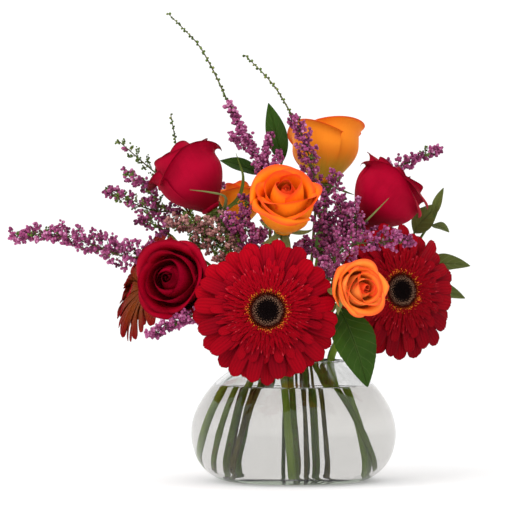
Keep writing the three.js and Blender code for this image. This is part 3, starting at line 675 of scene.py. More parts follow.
def leaf_finish(name, face, back, vein, veins, roughness):
    """A leaf: a pale rib, side veins that slant forwards from it, and a paler matt back."""
    finish = Finish(name, Specular_IOR_Level=0.12)
    across, along, shade = finish.grain()
    off = finish.maths("ABSOLUTE", across)
    cloud = finish.noise(finish.place(), 60)
    rib = 1 - finish.between(off, 0.02, 0.09)
    slant = finish.maths("FRACT", along * veins - off * 1.6 + cloud * 0.15)
    side = finish.between(finish.maths("ABSOLUTE", slant - 0.5), 0.4, 0.5)
    veined = finish.maths("MAXIMUM", rib, side * 0.55)
    colour = finish.layered(
        face,
        (darker(face, 0.6), finish.between(cloud + shade * 0.3, 0.35, 0.9)),
        (back, finish.back() * 0.8),
        (vein, veined * 0.5))
    rough = roughness + cloud * 0.2 + finish.back() * 0.25
    return finish.done(colour, rough, cloud * 0.4 - veined, 0.0003)


def bell_finish(name, deep, body, pale):
    """Heather bells: each a tone of its own, paler at the mouth."""
    finish = Finish(name, Specular_IOR_Level=0.2)
    _, along, shade = finish.grain()
    mottle = finish.noise(finish.place(), 700)
    colour = finish.layered(
        deep,
        (body, finish.between(shade + mottle * 0.3, 0.15, 0.7)),
        (pale, finish.between(along * 0.45 + shade * 0.75, 0.68, 1.2)))
    return finish.done(colour, 0.5 + mottle * 0.3, mottle, 0.0001)


def disc_finish(name):
    """The disc: near black in the middle, then a brown ring, dark red, and orange tips."""
    finish = Finish(name, Specular_IOR_Level=0.03)
    _, along, shade = finish.grain()
    stops = [(0, (0.003, 0.0015, 0.0015)), (0.43, (0.008, 0.004, 0.004)), (0.49, (0.2, 0.11, 0.07)),
             (0.6, (0.13, 0.055, 0.035)), (0.7, (0.04, 0.004, 0.003)), (0.8, (0.16, 0.012, 0.005)),
             (0.86, (0.75, 0.2, 0.02)), (1, (0.8, 0.12, 0.015))]
    ring = finish.node("ShaderNodeValToRGB", {"stops": stops}, {0: shade})
    # each peg is near black low down and takes its ring's colour towards its tip: partly the florets' own
    # dark bases, partly painted shade down between the crowded pegs
    lit = finish.between(along, 0.1, 0.7)
    colour = finish.mix((0.012, 0.002, 0.002), ring, lit)
    return finish.done(colour, 0.85 - lit * 0.25, finish.noise(finish.place(), 900), 0.0001)


def clear_finish(name, ior, colour, ripple=0.0):
    """Glass or water: clear, tinted as light crosses its surface, which is a little uneven.

    Lamp light passes straight through, so that what stands behind it is lit.
    """
    finish = Finish(name, Transmission_Weight=1.0, IOR=ior, Roughness=0.0)
    finish.shader.inputs["Base Color"].default_value = (*colour, 1)
    if ripple:
        finish.bump(finish.noise(finish.place(), 16), ripple)
    shadow = finish.node("ShaderNodeLightPath", output="Is Shadow Ray")
    through = finish.node("ShaderNodeBsdfTransparent")
    clear = Value(finish, finish.shader.outputs["BSDF"])
    seen = finish.node("ShaderNodeMixShader", None, {0: shadow, 1: clear, 2: through})
    finish.tree.links.new(seen.socket, finish.tree.nodes["Material Output"].inputs["Surface"])
    return finish.material


def floor_finish(colour, glow):
    """Pale matt floor with a faint light of its own."""
    finish = Finish("floor", Specular_IOR_Level=0.1, Emission_Strength=glow)
    grain = finish.noise(finish.place(), 6)
    finish.drive("Base Color", finish.mix(darker(colour, 0.98), colour, grain))
    finish.drive("Roughness", 0.9 + grain * 0.1)
    return finish.material


# ---------------------------------------------------------------- settings


def colour_property(name, description, default):
    return FloatVectorProperty(
        name=name, description=description, subtype="COLOR", size=3, min=0, max=1, default=default)


def length_property(name, description, millimetres):
    return FloatProperty(
        name=name, description=description, default=millimetres * MM, subtype="DISTANCE", unit="LENGTH")


class BouquetColours(bpy.types.PropertyGroup):
    """Colours of the petals and leaves."""

    red_rose: colour_property("Red rose", "Body of a red rose's petals", (0.38, 0.0008, 0.022))
    orange_rose: colour_property("Orange rose", "Body of an orange rose's petals", (1, 0.27, 0.01))
    gerbera: colour_property("Gerbera", "Middle of a gerbera's florets", (0.24, 0.0003, 0.008))
    heather: colour_property("Heather", "Heather bells", (0.34, 0.06, 0.18))
    leaf: colour_property("Leaf", "Upper face of the leaves", (0.026, 0.068, 0.004))


class BouquetSizes(bpy.types.PropertyGroup):
    """Sizes that can be changed without moving a piece."""

    petal_thick: length_property("Petal", "Thickness of a rose petal", 0.5)
    floret_thick: length_property("Floret", "Thickness of a gerbera floret", 0.45)
    leaf_thick: length_property("Leaf", "Thickness of a leaf", 0.5)
    bell: length_property("Bell", "Length of a heather bell", 2.8)
    vase_sides: IntProperty(name="Vase sides", description="Corners round the vase", default=128, min=24)


class BouquetStage(bpy.types.PropertyGroup):
    """Floor, light and camera."""

    floor: colour_property("Floor", "Colour of the floor", (0.9, 0.9, 0.9))
    glow: FloatProperty(name="Glow", description="Light that the floor gives off", default=0.16, min=0)
    sky: FloatProperty(name="Sky", description="Strength of the even white light", default=0.95, min=0)
    key: FloatProperty(
        name="Key light", description="Power of the large soft light", default=26, min=0,
        subtype="POWER", unit="POWER")
    distance: length_property("Camera distance", "From the camera to the vase's axis", 2400)
    lens: FloatProperty(
        name="Lens", description="Focal length of the camera on a 36 mm sensor", default=210.9,
        subtype="DISTANCE_CAMERA", unit="CAMERA")


# ---------------------------------------------------------------- vase and water


def vase_lines():
    """The vase's outside, and its inside one wall further in, as (radius, height)."""
    outline = [(radius, 0, height) for radius, height in VASE_OUTLINE]
    outside = flowing(outline, 90)[:, [0, 2]]
    slope = unit(np.gradient(outside, axis=0))
    inside = outside + VASE_WALL * np.stack([-slope[:, 1], slope[:, 0]], axis=1)
    inside = inside[(inside[:, 1] > VASE_FLOOR + 3) & (inside[:, 1] < VASE_LIP - 2)]
    wide = inside[0, 0]
    corner = [(wide - 9, VASE_FLOOR), (wide - 4, VASE_FLOOR + 0.3), (wide - 1.2, VASE_FLOOR + 1.2)]
    return outside, np.vstack([corner, inside])


def vase_glass():
    """Up the vase's outside, over a round lip, down its inside and across its floor.

    Each corner is (radius, height).
    """
    outside, inside = vase_lines()
    foot = [(1, 0.5), (32, 0.5), (40, 0.4), (43.5, 0.05)]
    lip = np.array([(0.4, 1.4), (-0.4, 1.5), (-1.1, 1.1), (-1.4, 0.3)]) + [VASE_MOUTH, VASE_LIP]
    floor = [(30, VASE_FLOOR), (1, VASE_FLOOR)]
    return np.vstack([foot, outside, lip, inside[::-1], floor])


def water_body():
    """The water's floor and side, where the glass already bends the light, and then its top.

    Each corner is (radius, height). The water climbs the glass a little at its edge.
    """
    _, inside = vase_lines()
    side = inside[inside[:, 1] < WATER_LEVEL] - [0.15, 0]
    side[:, 1] = np.maximum(side[:, 1], VASE_FLOOR + 0.15)
    edge = side[-1, 0]
    top = [(edge - 0.3, 0.4), (edge - 1.5, -0.3), (edge - 4, -0.6), (1, -0.6)]
    bottom = [(1, VASE_FLOOR + 0.15), (30, VASE_FLOOR + 0.15)]
    return np.vstack([bottom, side]), np.array(top) + [0, WATER_LEVEL]


# ---------------------------------------------------------------- stems and leaves


def strand(plant, route, kind):
    """A stem's middle line: from its cut end straight through the water, then along its route."""
    radius = plant.get("thick", STEMS[kind][0])
    neck, foot = np.array(plant["neck"], float), np.array(plant["foot"][:2], float)
    slope = np.linalg.norm(neck - foot) / (NECK - VASE_FLOOR)
    low = [*plant["foot"][2:], VASE_FLOOR + 1.5 * GAP + radius * slope][0]
    end = np.array([*foot, low])
    knots = [end, np.array([*neck, NECK]), *np.asarray(route, float)]
    line = flowing(knots, 400)
    start = np.argmax(line[:, 2] > low + STRAIGHT * (NECK - low))
    straight = end + (line[start] - end) * np.linspace(0, 1, 12)[:-1, None]
    return spaced(np.vstack([straight, line[start:]]), 70)


def stem_radius(path, radius, seed):
    """Nearly even, with slow swells and slight knots along it."""
    rng = np.random.default_rng(seed)
    s = np.linspace(0, 1, len(path))
    swell = sum(rng.uniform(-1, 1) * np.sin(2 * np.pi * (k * s + rng.uniform())) for k in range(1, 5))
    knots = sum(np.exp(-(((s - place) * 60) ** 2)) for place in rng.uniform(0.1, 0.9, 3))
    return radius * (1 + 0.035 * swell + 0.13 * knots)


def add_stem(shape, plant, route, kind, number, shade):
    """Adds a stem from its cut end along its route, and gives its middle line."""
    path = strand(plant, route, kind)
    radius, sides, seed = STEMS[kind]
    shape.rings(tube(path, stem_radius(path, plant.get("thick", radius), seed + number), sides), shade)
    return path


def seat_of(flower):
    """What puts points made along +Z at the flower's place, and the route of its stem below it."""
    base, axis = np.array(flower["base"], float), unit(flower["axis"])
    return partial(placed, base=base, axis=axis), [base - far * axis for far in STEM_LINE_UP]


def leaf_blade(leaf, rows=44, columns=15):
    """A leaf's middle surface, about a rib that arches.

    Each way it is half its width times sin(pi w^0.82)^0.9, with w = 0.012 + 0.98 v. The blade
    folds up from the rib, waves slowly along its edge, and has `teeth` a side.
    """
    base, tip = np.array(leaf["base"], float), np.array(leaf["tip"], float)
    along = tip - base
    across = unit(np.cross(along, leaf["facing"]))
    lift = unit(np.cross(across, along))
    size = np.linalg.norm(along)
    u = np.linspace(-1, 1, columns)[None, :, None]
    v = np.linspace(0, 1, rows)[:, None, None]
    outline = np.sin(np.pi * (0.012 + 0.98 * v) ** 0.82) ** 0.9
    teeth = leaf["teeth"]
    saw = 1 + (0.05 * np.abs(((v * teeth) % 1) - 0.2) if teeth else 0)
    half = 0.5 * leaf["width"] * np.maximum(outline * saw, 0.02)
    wave = 0.035 * leaf["width"] * np.sin(9 * v + 1.3 * np.sign(u)) * np.abs(u) ** 2
    rib = 0.085 * size * np.sin(np.pi * v**0.9)
    fold = 0.22 * half * np.abs(u) ** 1.3
    return (base + along * v + across * u * half + lift * (rib + fold + wave * outline))[None]


def add_leaf(shape, leaf, stem, thick, look, shade):
    """A blade with a raised rib on its back, and the stalk that joins it to its stem's middle line."""
    blade = leaf_blade(leaf)
    shape.sheets(blade, thick, shade, look)
    spine = blade[0, :, blade.shape[2] // 2]
    start = stem[np.argmin(np.linalg.norm(stem - np.array(leaf["start"], float), axis=1))]
    stalk = flowing([start, 0.5 * (start + spine[0]), spine[0], spine[3]], 16)
    shape.rings(tube(stalk, np.linspace(1.0, 0.75, 16), 8), shade, 0)
    lift = unit(np.cross(np.gradient(spine, axis=0), blade[0, :, -1] - blade[0, :, 0]))
    rib = spine[2:-2] - 0.15 * lift[2:-2]
    shape.rings(tube(rib, np.linspace(0.7, 0.25, len(rib)), 6), shade, look)


# ---------------------------------------------------------------- roses

# Shares of a rose petal's length at which its belly ends and its rim starts to roll back.
BELLY, ROLL = 0.62, 0.78

# The cup below a rose and the core inside it, as (radius, height).
ROSE_CUP = [(0.8, -9), (2.3, -8.6), (2.8, -7.8), (4.2, -6.2), (5.1, -4.6), (5.2, -3.2), (4.7, -1.8),
            (4.2, -0.4), (3.6, 1.2), (1, 2.2)]
ROSE_CORE = [(1, 0.5), (6, 0.6), (8.4, 2.4), (8, 8), (1, 12)]


def rose_petals(rose, rows=36, columns=27):
    """A rose's petals in one array, from the heart outwards, made along +Z.

    Petal k is turned by k golden angles and lies further out the later it comes. Up to the
    share BELLY of its length w it bellies out, radius = root + (out - root) sin(pi/2 w/BELLY)^1.1.
    Above that its direction is summed up step by step: it leans by `lean`, inwards in the heart
    (no further than the axis) and outwards outside, and from the share ROLL on rolls back by
    `roll`, most at its shoulders, so that the middle of the rim stays a point; in a bud only the
    outermost petal does so, and the others roll their middles. Across u it wraps round the axis,
    one side edge further out than the other, and the rim falls away to the sides.
    """
    rng = np.random.default_rng(int(100 * rose["radius"]) + rose["petals"])
    count, opened = rose["petals"], rose["open"]
    k = np.arange(count)
    t = (k / (count - 1))[:, None, None]
    wild = rng.normal(0, 1, (6, count, 1, 1))
    out = rose["radius"] * (0.1 + 0.82 * t**0.8) * (1 + 0.02 * wild[4] * t)
    tall = 1.02 - (0.04 + 0.3 * opened) * t**1.3 - 0.16 * (1 - t) ** 3
    tall = rose["height"] * tall * (1 + 0.03 * wild[5])
    half = 2.5 - 1.15 * t**0.6
    lean = -(0.95 - 0.3 * opened) * (1 - t) ** 1.2 + (1.35 * opened - 0.04) * t**1.5
    lean = lean + (0.03 + 0.25 * opened) * wild[0] * t
    lean = np.maximum(lean, -np.arcsin(np.clip((out - 1) / (tall * (1 - BELLY)), 0, 0.95)))
    free = 1 - smooth((1 - t) * (count - 1), 2 + 16 * opened**2, 3.1 + 24 * opened**2)
    roll = (0.6 + 2.2 * t) * free * (1 + 0.25 * wild[1])
    root = 2.2 + 4 * t
    angle = rose["face"] + (k - count + 1)[:, None, None] * GOLDEN + 0.09 * wild[2]
    tuck = 0.11 * (1 - 0.5 * t)
    phase = 2.4 * wild[3]
    u, v = sheet_grid(rows, columns)
    v = v**0.85
    side = np.abs(u)
    fall = rose.get("point", min(0.2, 0.05 + 0.4 * opened))
    w = v * (1 - (0.04 + fall * t) * side ** (3 - (0.6 + 2 * opened) * t))
    belly = np.sin(0.5 * np.pi * np.minimum(1, w / BELLY)) ** 1.1
    tucked = np.minimum((1 - t) * (count - 1), 1) * (1 - smooth(opened, 0.1, 0.4))
    share = tucked * (1 - side**2) + (1 - tucked) * (0.3 + 0.95 * side**1.4)
    away = roll * share * smooth(v, ROLL, 1.04)
    heading = lean * smooth(w, BELLY, 0.9) + away
    step = np.diff(np.maximum(w, BELLY), axis=1, prepend=BELLY) * tall
    outward = np.cumsum(step * np.sin(heading), axis=1)
    upward = np.cumsum(step * np.cos(heading), axis=1)
    turn = angle + u * half * (0.78 + 0.22 * smooth(v, 0, 0.35))
    wide = (root + (out - root) * belly) * (1 + tuck * u * np.minimum(1, 3 * v)) + outward
    ruffle = (0.35 + 1.4 * opened) * (0.02 + 0.045 * t) * rose["radius"] * w**4
    wide = wide + ruffle * np.sin(2.9 * u + phase) * (0.3 + side)
    height = 1.4 + (tall - 1.4) * np.minimum(w, BELLY) + upward
    height = height + 0.03 * tall * w**4 * np.cos(3.6 * u + phase)
    wide = np.maximum(wide, 0.4)
    return np.stack([wide * np.cos(turn), wide * np.sin(turn), height], axis=-1), 1 - t.ravel()


def curled_sepal(knots, wide, rows=24, columns=5):
    """A narrow sepal along a flowing line, widest near its start and pointed at its tip."""
    path = flowing(knots, rows)
    side, across, _ = sides_of(path)
    u = np.linspace(-1, 1, columns)[None, :, None]
    v = np.linspace(0, 1, rows)[:, None, None]
    half = 0.5 * wide * (1 - v) ** 0.7 * (0.7 + 0.6 * np.sin(np.pi * v)) + 0.12
    twist = 0.7 * np.sin(2.5 * v + wide)
    flat = np.cos(twist) * across[:, None] + np.sin(twist) * side[:, None]
    return (path[:, None] + half * u * flat + 0.25 * half * u**2 * side[:, None])[None]


def sepals_of(rose, rows=18, columns=5):
    """Five narrow sepals from the cup's rim: they reach out, droop and curl at their tips."""
    rng = np.random.default_rng(rose["petals"])
    reach = rose["height"] * (0.5 if rose["petals"] > 15 else 0.46) * rng.uniform(0.8, 1.1, (5, 1, 1))
    angle = (2 * np.pi * np.arange(5) / 5 + rng.normal(0, 0.1, 5))[:, None, None]
    lift = rng.uniform(-0.9, 0.9, (5, 1, 1))
    u, v = sheet_grid(rows, columns)
    half = 2.9 * (1 - v) ** 0.75 * (0.75 + 0.6 * np.sin(np.pi * v)) + 0.12
    wide = 3.6 + reach * (v - 0.16 * v**3) * (1 - 0.12 * np.abs(lift))
    height = -1.4 - 3.5 * np.sin(2.4 * v) + reach * 0.42 * lift * v**2.2 + 0.35 * half * u**2
    return about_axis(angle, wide, half * u, height)


# ---------------------------------------------------------------- gerberas

FINE = 430  # fine florets inside a gerbera's long ones
DISC_REACH = 16.2  # radius out to the tips of the disc's outermost florets

# The cup below a gerbera, the pad that its florets stand on and the dome of its disc.
GERBERA_CUP = [(1, -9.6), (3.1, -9.2), (4.2, -8), (6.3, -5.4), (7.4, -2.8), (7.9, -0.6), (8.2, 0.6), (1, 1.4)]
GERBERA_PAD = [(1, 0.2), (8, 0.3), (11, 1.6), (13.4, 5.6), (1, 6.2)]
GERBERA_DOME = [(1, 6.4), (13, 6.5), (14.4, 7), (9, 7.8), (1, 8.2)]


def florets(count, reach, root, height, rise, droop, wide, start, seed, rows=22, columns=9):
    """A ring of florets made along +Z: straps that widen outwards and round off at the tip.

    Half the width is `wide` times 0.3 + 0.7 sin(pi/2 v/0.78)^1.2 up to v = 0.78, is even after
    that, and from v = 0.84 closes as sqrt(1 - ((v - 0.84)/0.1615)^2.6). Each lies on a curve
    that rises from the hub as a sine and droops as v^2.2, is cupped across, and is turned and
    lifted a little on its own.
    """
    rng = np.random.default_rng(seed)
    each = (count, 1, 1)
    angle = 2 * np.pi * (np.arange(count) + start) / count + rng.normal(0, 0.35 / count, count)
    angle = angle.reshape(each)
    long = reach * rng.uniform(0.97, 1.07, each)
    drop = droop * rng.uniform(0.4, 1.6, each)
    sway = rng.normal(0, 0.03, each) * reach
    roll = rng.normal(0, 0.16, each)
    u, v = sheet_grid(rows, columns, 1.0)
    body = 0.3 + 0.7 * np.sin(0.5 * np.pi * np.minimum(1, v / 0.78)) ** 1.2
    close = np.sqrt(np.clip(1 - (np.maximum(0, v - 0.84) / 0.1615) ** 2.6, 0.0, 1))
    notch = 1 - 0.012 * np.exp(-((u / 0.3) ** 2)) * v**12
    half = wide * rng.uniform(0.9, 1.08, each) * body * np.maximum(close, 0.07)
    out = root + (long - root) * v * notch
    side = half * u + sway * v**2
    lift = height + rise * np.sin(0.75 * np.pi * v) - drop * v**2.2
    lift = lift + (0.16 * np.abs(u) ** 1.5 + roll * u) * half * smooth(v, 0.05, 0.5)
    lift = lift + 0.06 * half * np.cos(3 * np.pi * u) * smooth(v, 0.1, 0.4)
    return about_axis(angle, out, side, lift)


def gerbera_florets(shape, gerbera, thick, seed):
    """Two rings of long florets, shorter rings in front, and the crowd of fine ones inside.

    The fine florets stand at the golden angle, the long ones of them outside and low, the
    short ones inside and steep. Their shade is over 1, which gives them a light tip.
    """
    radius, count = gerbera["radius"], gerbera["florets"]
    wide = 1.26 * math.pi * radius / (2 * count)
    rings = [
        (count, 1.0, 8, 1.0, 2.0, 6.0, wide, 0.0, 0),
        (count, 0.975, 8, 2.2, 2.4, 4.2, wide, 0.5, 1),
        (count + 7, 0.77, 8, 3.2, 3.0, 2.2, 0.6 * wide, 0.2, 2),
        (count + 14, 0.63, 8, 4.2, 3.4, 1.0, 0.42 * wide, 0.4, 3),
    ]
    for number, reach, root, height, rise, droop, half, start, order in rings:
        middle = florets(number, reach * radius, root, height, rise, droop, half, start, seed + order)
        shape.sheets(middle, thick, np.random.default_rng(seed + order).uniform(0, 1, number))
    shade = 1.3 + np.random.default_rng(seed + 9).uniform(0, 0.6, FINE)
    shape.sheets(fine_florets(radius, seed + 20), 0.7 * thick, shade)


def fine_florets(radius, seed, rows=7, columns=3):
    """Narrow straps: out = root + (end - root) v, rising as sin(2.2 v), pointed and a little askew."""
    rng = np.random.default_rng(seed)
    each = (FINE, 1, 1)
    k = np.arange(FINE)
    inner = (k / (FINE - 1)).reshape(each)
    angle = (k * GOLDEN + rng.normal(0, 0.05, FINE)).reshape(each)
    end = radius * (0.68 - 0.34 * inner**0.8) * rng.uniform(0.93, 1.04, each)
    root = 12.5
    half = 1.25 - 0.45 * inner
    rise = 3.4 + 1.6 * inner + rng.normal(0, 0.35, each)
    u, v = sheet_grid(rows, columns, 1.0)
    width = half * (0.55 + 0.45 * np.sin(np.pi * v**0.8)) * np.where(v < 1, 1, 0.25)
    side = width * u + rng.normal(0, 0.6, each) * v**2
    out = root + (end - root) * v
    lift = 4.2 + rise * np.sin(2.2 * v) / 0.98 + 0.5 * inner + 0.3 * width * np.abs(u)
    return about_axis(angle, out, side, lift)


def disc_knobs():
    """The disc's florets: pegs at the golden angle, long and leaning out in its outer rings."""
    count = 620
    k = np.arange(count)
    share = np.sqrt((k + 0.5) / count)
    far = DISC_REACH * share
    angle = k * GOLDEN
    rng = np.random.default_rng(7)
    stops = [0, 0.44, 0.49, 0.6, 0.7, 0.8, 0.86, 1]
    tall = np.interp(share, stops, [0.8, 1.0, 3.0, 2.6, 1.3, 1.6, 3.4, 3.0]) * rng.uniform(0.65, 1.25, count)
    out = np.interp(share, stops, [0.1, 0.3, 1.0, 1.3, 0.8, 0.7, 0.8, 0.9]) + rng.normal(0, 0.15, count)
    base = np.stack([far * np.cos(angle), far * np.sin(angle), 6.9 + 1.2 * np.cos(share * 1.8)], axis=-1)
    lean = unit(np.stack([np.cos(angle) * out, np.sin(angle) * out, np.ones_like(share)], axis=-1))
    profile = np.array([(0.36, 0), (0.46, 0.45), (0.5, 0.8), (0.3, 1.0)])
    return pegs(base, lean, tall, profile, 5, slim=True), share


def pegs(base, lean, tall, profile, sides, slim=False):
    """Small turned solids, each on its base along its own direction and as tall as given.

    A corner is base + lean * height + radius (cos a * side + sin a * across). The profile's
    radii are shares of the height, or millimetres where the pegs are slim.
    """
    steady = np.where(np.abs(lean[:, 2:]) < 0.9, [[0.0, 0.0, 1.0]], [[1.0, 0.0, 0.0]])
    side = unit(np.cross(steady, lean))
    across = np.cross(lean, side)
    a = round_turn(sides)[:, None]
    tall = np.asarray(tall, float).reshape(-1, 1, 1, 1)
    r, z = profile[:, 0][None, :, None, None], profile[:, 1][None, :, None, None]
    spokes = np.cos(a) * side[:, None, None] + np.sin(a) * across[:, None, None]
    return base[:, None, None] + lean[:, None, None] * z * tall + spokes * r * (1 if slim else tall)


def gerbera_bracts(seed, rows=8, columns=4):
    """Narrow green bracts in three rings that hug the cup below a gerbera."""
    rng = np.random.default_rng(seed)
    k = np.arange(48)
    ring = k // 16
    angle = (2 * np.pi * (k + 0.5 * ring) / 16 + rng.normal(0, 0.05, 48))[:, None, None]
    low = (-8.2 + 2.2 * ring)[:, None, None]
    u, v = sheet_grid(rows, columns)
    half = 1.5 * (1 - v) ** 0.6 + 0.08
    height = low + 6.4 * v
    cup = np.interp(height, [c[1] for c in GERBERA_CUP], [c[0] for c in GERBERA_CUP])
    wide = cup + 0.35 + 0.9 * v**3
    return about_axis(angle, wide, half * u, height)


# ---------------------------------------------------------------- heather


# A bell, a bud and a scale on its base, as (radius, height) in shares of its height.
BELL = np.array([(0.12, 0), (0.4, 0.14), (0.5, 0.42), (0.43, 0.72), (0.24, 0.93), (0.2, 1.0)])
BUD = np.array([(0.16, 0), (0.5, 0.35), (0.46, 0.7), (0.1, 1.0)])
SCALE = np.array([(0.1, 0), (0.17, 0.4), (0.03, 1.0)])
ARCH = 0.22  # how far the tip of a side shoot arches up, as a share of its length
SHOOT_GAP, BUD_GAP = 1.75, 1.9  # from one side shoot, or one bud of a bare twig, to the next
TWIG_RINGS = 60


def shoots_on(path, spacing, reach, seed, forward=0.7, taper=2.2):
    """Side shoots along a twig: where each leaves it, its direction and its length.

    Shoot k stands at the golden angle to the last and leans forward along the twig. Its length
    is `reach` times 1 - 0.55 at^taper, where `at` is how far along the twig it is, times chance.
    """
    rng = np.random.default_rng(seed)
    length = float(np.linalg.norm(np.diff(path, axis=0), axis=1).sum())
    count = max(4, int(length / spacing))
    at = (np.arange(count) + rng.uniform(0, 0.8, count)) / count
    side, across, along = sides_of(path)
    pick = np.clip((at * (len(path) - 1)).astype(int), 0, len(path) - 1)
    angle = np.arange(count) * GOLDEN + rng.normal(0, 0.3, count)
    ring = np.cos(angle)[:, None] * side[pick] + np.sin(angle)[:, None] * across[pick]
    direction = unit(ring + forward * along[pick])
    long = reach * (1 - 0.55 * at**taper) * rng.uniform(0.4, 1.0, count)
    return path[pick], direction, long


def heather_spray(shape, spray, bell, seed):
    """Twigs with side shoots that arch upwards, each with a cluster of bells round its outer part.

    The bells turn outwards and hang a little. Small green scales sit along the inner part.
    """
    for order, knots in enumerate([spray["path"], *spray.get("also", [])]):
        share_of_reach = 1.0 if order == 0 else 0.75
        heather_twig(shape, spray, flowing(knots, TWIG_RINGS), bell, share_of_reach, seed + 7000 * order)


def heather_twig(shape, spray, path, bell, share_of_reach, seed):
    """One twig of a spray with its shoots, bells, buds and scales."""
    rng = np.random.default_rng(seed)
    shape.rings(tube(path, np.linspace(0.8, 0.35, TWIG_RINGS), 6), 0.5, 0)
    green, full, thin = spray.get("green", 0.06), spray.get("full", 1.6), spray.get("thin", 1.0)
    reach = full * share_of_reach * spray["reach"]
    start, direction, long = shoots_on(path, SHOOT_GAP * thin, reach, seed, taper=spray.get("taper", 2.2))

    def bowed(share):
        """Places at shares of each shoot's length, on the arch that it makes."""
        line = start[:, None] + direction[:, None] * (long[:, None, None] * share)
        return line + ARCH * long[:, None, None] * share**2 * [0, 0, 1]

    turn = round_turn(4)[:, None]
    steady = unit(np.cross(direction, [0.3, 0.5, 0.8]))
    over = np.cross(direction, steady)
    slim = 0.24 * (np.cos(turn) * steady[:, None] + np.sin(turn) * over[:, None])
    shape.rings(bowed(np.linspace(0, 1, 5)[None, :, None])[:, :, None] + slim[:, None], 0.5, 0)
    bells = 11
    share = 0.42 + 0.62 * rng.uniform(size=(len(start), bells, 1)) ** 0.8
    around = unit(rng.normal(size=(len(start), bells, 3)))
    lean = unit(around + 0.35 * direction[:, None] + [0, 0, -0.25]).reshape(-1, 3)
    base = (bowed(share) + rng.uniform(0.2, 1.3, (len(start), bells, 1)) * around).reshape(-1, 3)
    budded = np.repeat(rng.uniform(size=len(start)) < green, bells)
    budded = budded | (rng.uniform(size=len(base)) < 0.3 * green)
    size = bell * rng.uniform(0.72, 1.1, len(base))
    tone = np.repeat(rng.uniform(0, 0.4, len(start)), bells) + rng.uniform(0, 0.6, len(base))
    shape.rings(pegs(base[~budded], lean[~budded], size[~budded], BELL, 6), tone[~budded], 1)
    if budded.any():
        buds = pegs(base[budded], lean[budded], 0.6 * size[budded], BUD, 5)
        shape.rings(buds, tone[budded], 2)
    scales = 4
    share = rng.uniform(0.0, 0.75, (len(start), scales, 1))
    around = unit(rng.normal(size=(len(start), scales, 3)) + 0.8 * direction[:, None])
    base = (start[:, None] + direction[:, None] * (long[:, None, None] * share)).reshape(-1, 3)
    tall = rng.uniform(1.4, 2.4, len(base))
    green_scales = pegs(base, around.reshape(-1, 3), tall, SCALE * [2.6, 1], 3, slim=True)
    shape.rings(green_scales, rng.uniform(0, 1, len(base)), 2)


def budded_twig(shape, knots, seed, twig_look, bud_look):
    """A bare twig with small buds all the way up, each at the golden angle to the last."""
    rng = np.random.default_rng(seed)
    path = flowing(knots, TWIG_RINGS)
    shape.rings(tube(path, np.linspace(0.75, 0.35, TWIG_RINGS), 6), 0.3, twig_look)
    start, direction, _ = shoots_on(path, BUD_GAP, 2.4, seed, forward=1.1)
    size = rng.uniform(1.5, 2.4, len(start))
    buds = pegs(start + direction * 0.4, direction, size, BUD, 5)
    shape.rings(buds, rng.uniform(0, 1, len(start)), bud_look)


# ---------------------------------------------------------------- operators


class BOUQUET_OT_stage(bpy.types.Operator):
    """Add the camera, the pale floor that curves up far away, and the soft light"""

    bl_idname = "bouquet.stage"
    bl_label = "Stage"
    bl_options = {"REGISTER", "UNDO"}

    def execute(self, context):
        scene = context.scene
        stage = scene.bouquet_stage
        camera = new_object("camera", bpy.data.cameras.new("camera"))
        camera.data.lens = stage.lens
        camera.data.sensor_width = 36
        camera.location = (EYE_RIGHT, -stage.distance, EYE_HEIGHT)
        camera.rotation_euler = (math.pi / 2, 0, 0)
        scene.camera = camera
        self.floor(floor_finish(tuple(stage.floor), stage.glow))

        key = bpy.data.lights.new("key", "AREA")
        key.size = LAMP_SIZE
        key.energy = stage.key
        lamp = new_object("key", key)
        lamp.location = LAMP_PLACE
        lamp.visible_glossy = lamp.visible_transmission = False
        aim = -np.array(lamp.location) + [0, 0, 0.2]
        tilt = math.acos(-aim[2] / np.linalg.norm(aim))
        lamp.rotation_euler = (tilt, 0, math.atan2(aim[1], aim[0]) - math.pi / 2)

        world = bpy.data.worlds.new("sky")
        world.use_nodes = True
        background = world.node_tree.nodes["Background"]
        background.inputs["Color"].default_value = (1, 1, 1, 1)
        background.inputs["Strength"].default_value = stage.sky
        scene.world = world
        scene.view_settings.view_transform = "Standard"
        return {"FINISHED"}

    def floor(self, look):
        """A flat disc whose rim curves up as a quarter circle, wider than the camera's distance."""
        flat, bend = 3.2, 1.6
        arc = np.linspace(0, 0.5 * np.pi, 24)
        radius = np.concatenate([[0.01, 0.5, 1.5, 2.5], flat + bend * np.sin(arc)])
        height = np.concatenate([np.zeros(4), bend * (1 - np.cos(arc))])
        sides = 96
        corners = turned(np.column_stack([radius, height]), sides).reshape(-1, 3)
        at = np.arange(len(corners)).reshape(len(radius), sides)
        onward = np.roll(at, -1, axis=1)
        faces = np.stack([at[:-1], at[1:], onward[1:], onward[:-1]], axis=-1).reshape(-1, 4).tolist()
        faces.append(at[0].tolist())
        mesh = bpy.data.meshes.new("floor")
        mesh.from_pydata(corners.tolist(), [], faces)
        mesh.materials.append(look)
        mesh.polygons.foreach_set("use_smooth", np.ones(len(faces), bool))
        floor = new_object("floor", mesh)


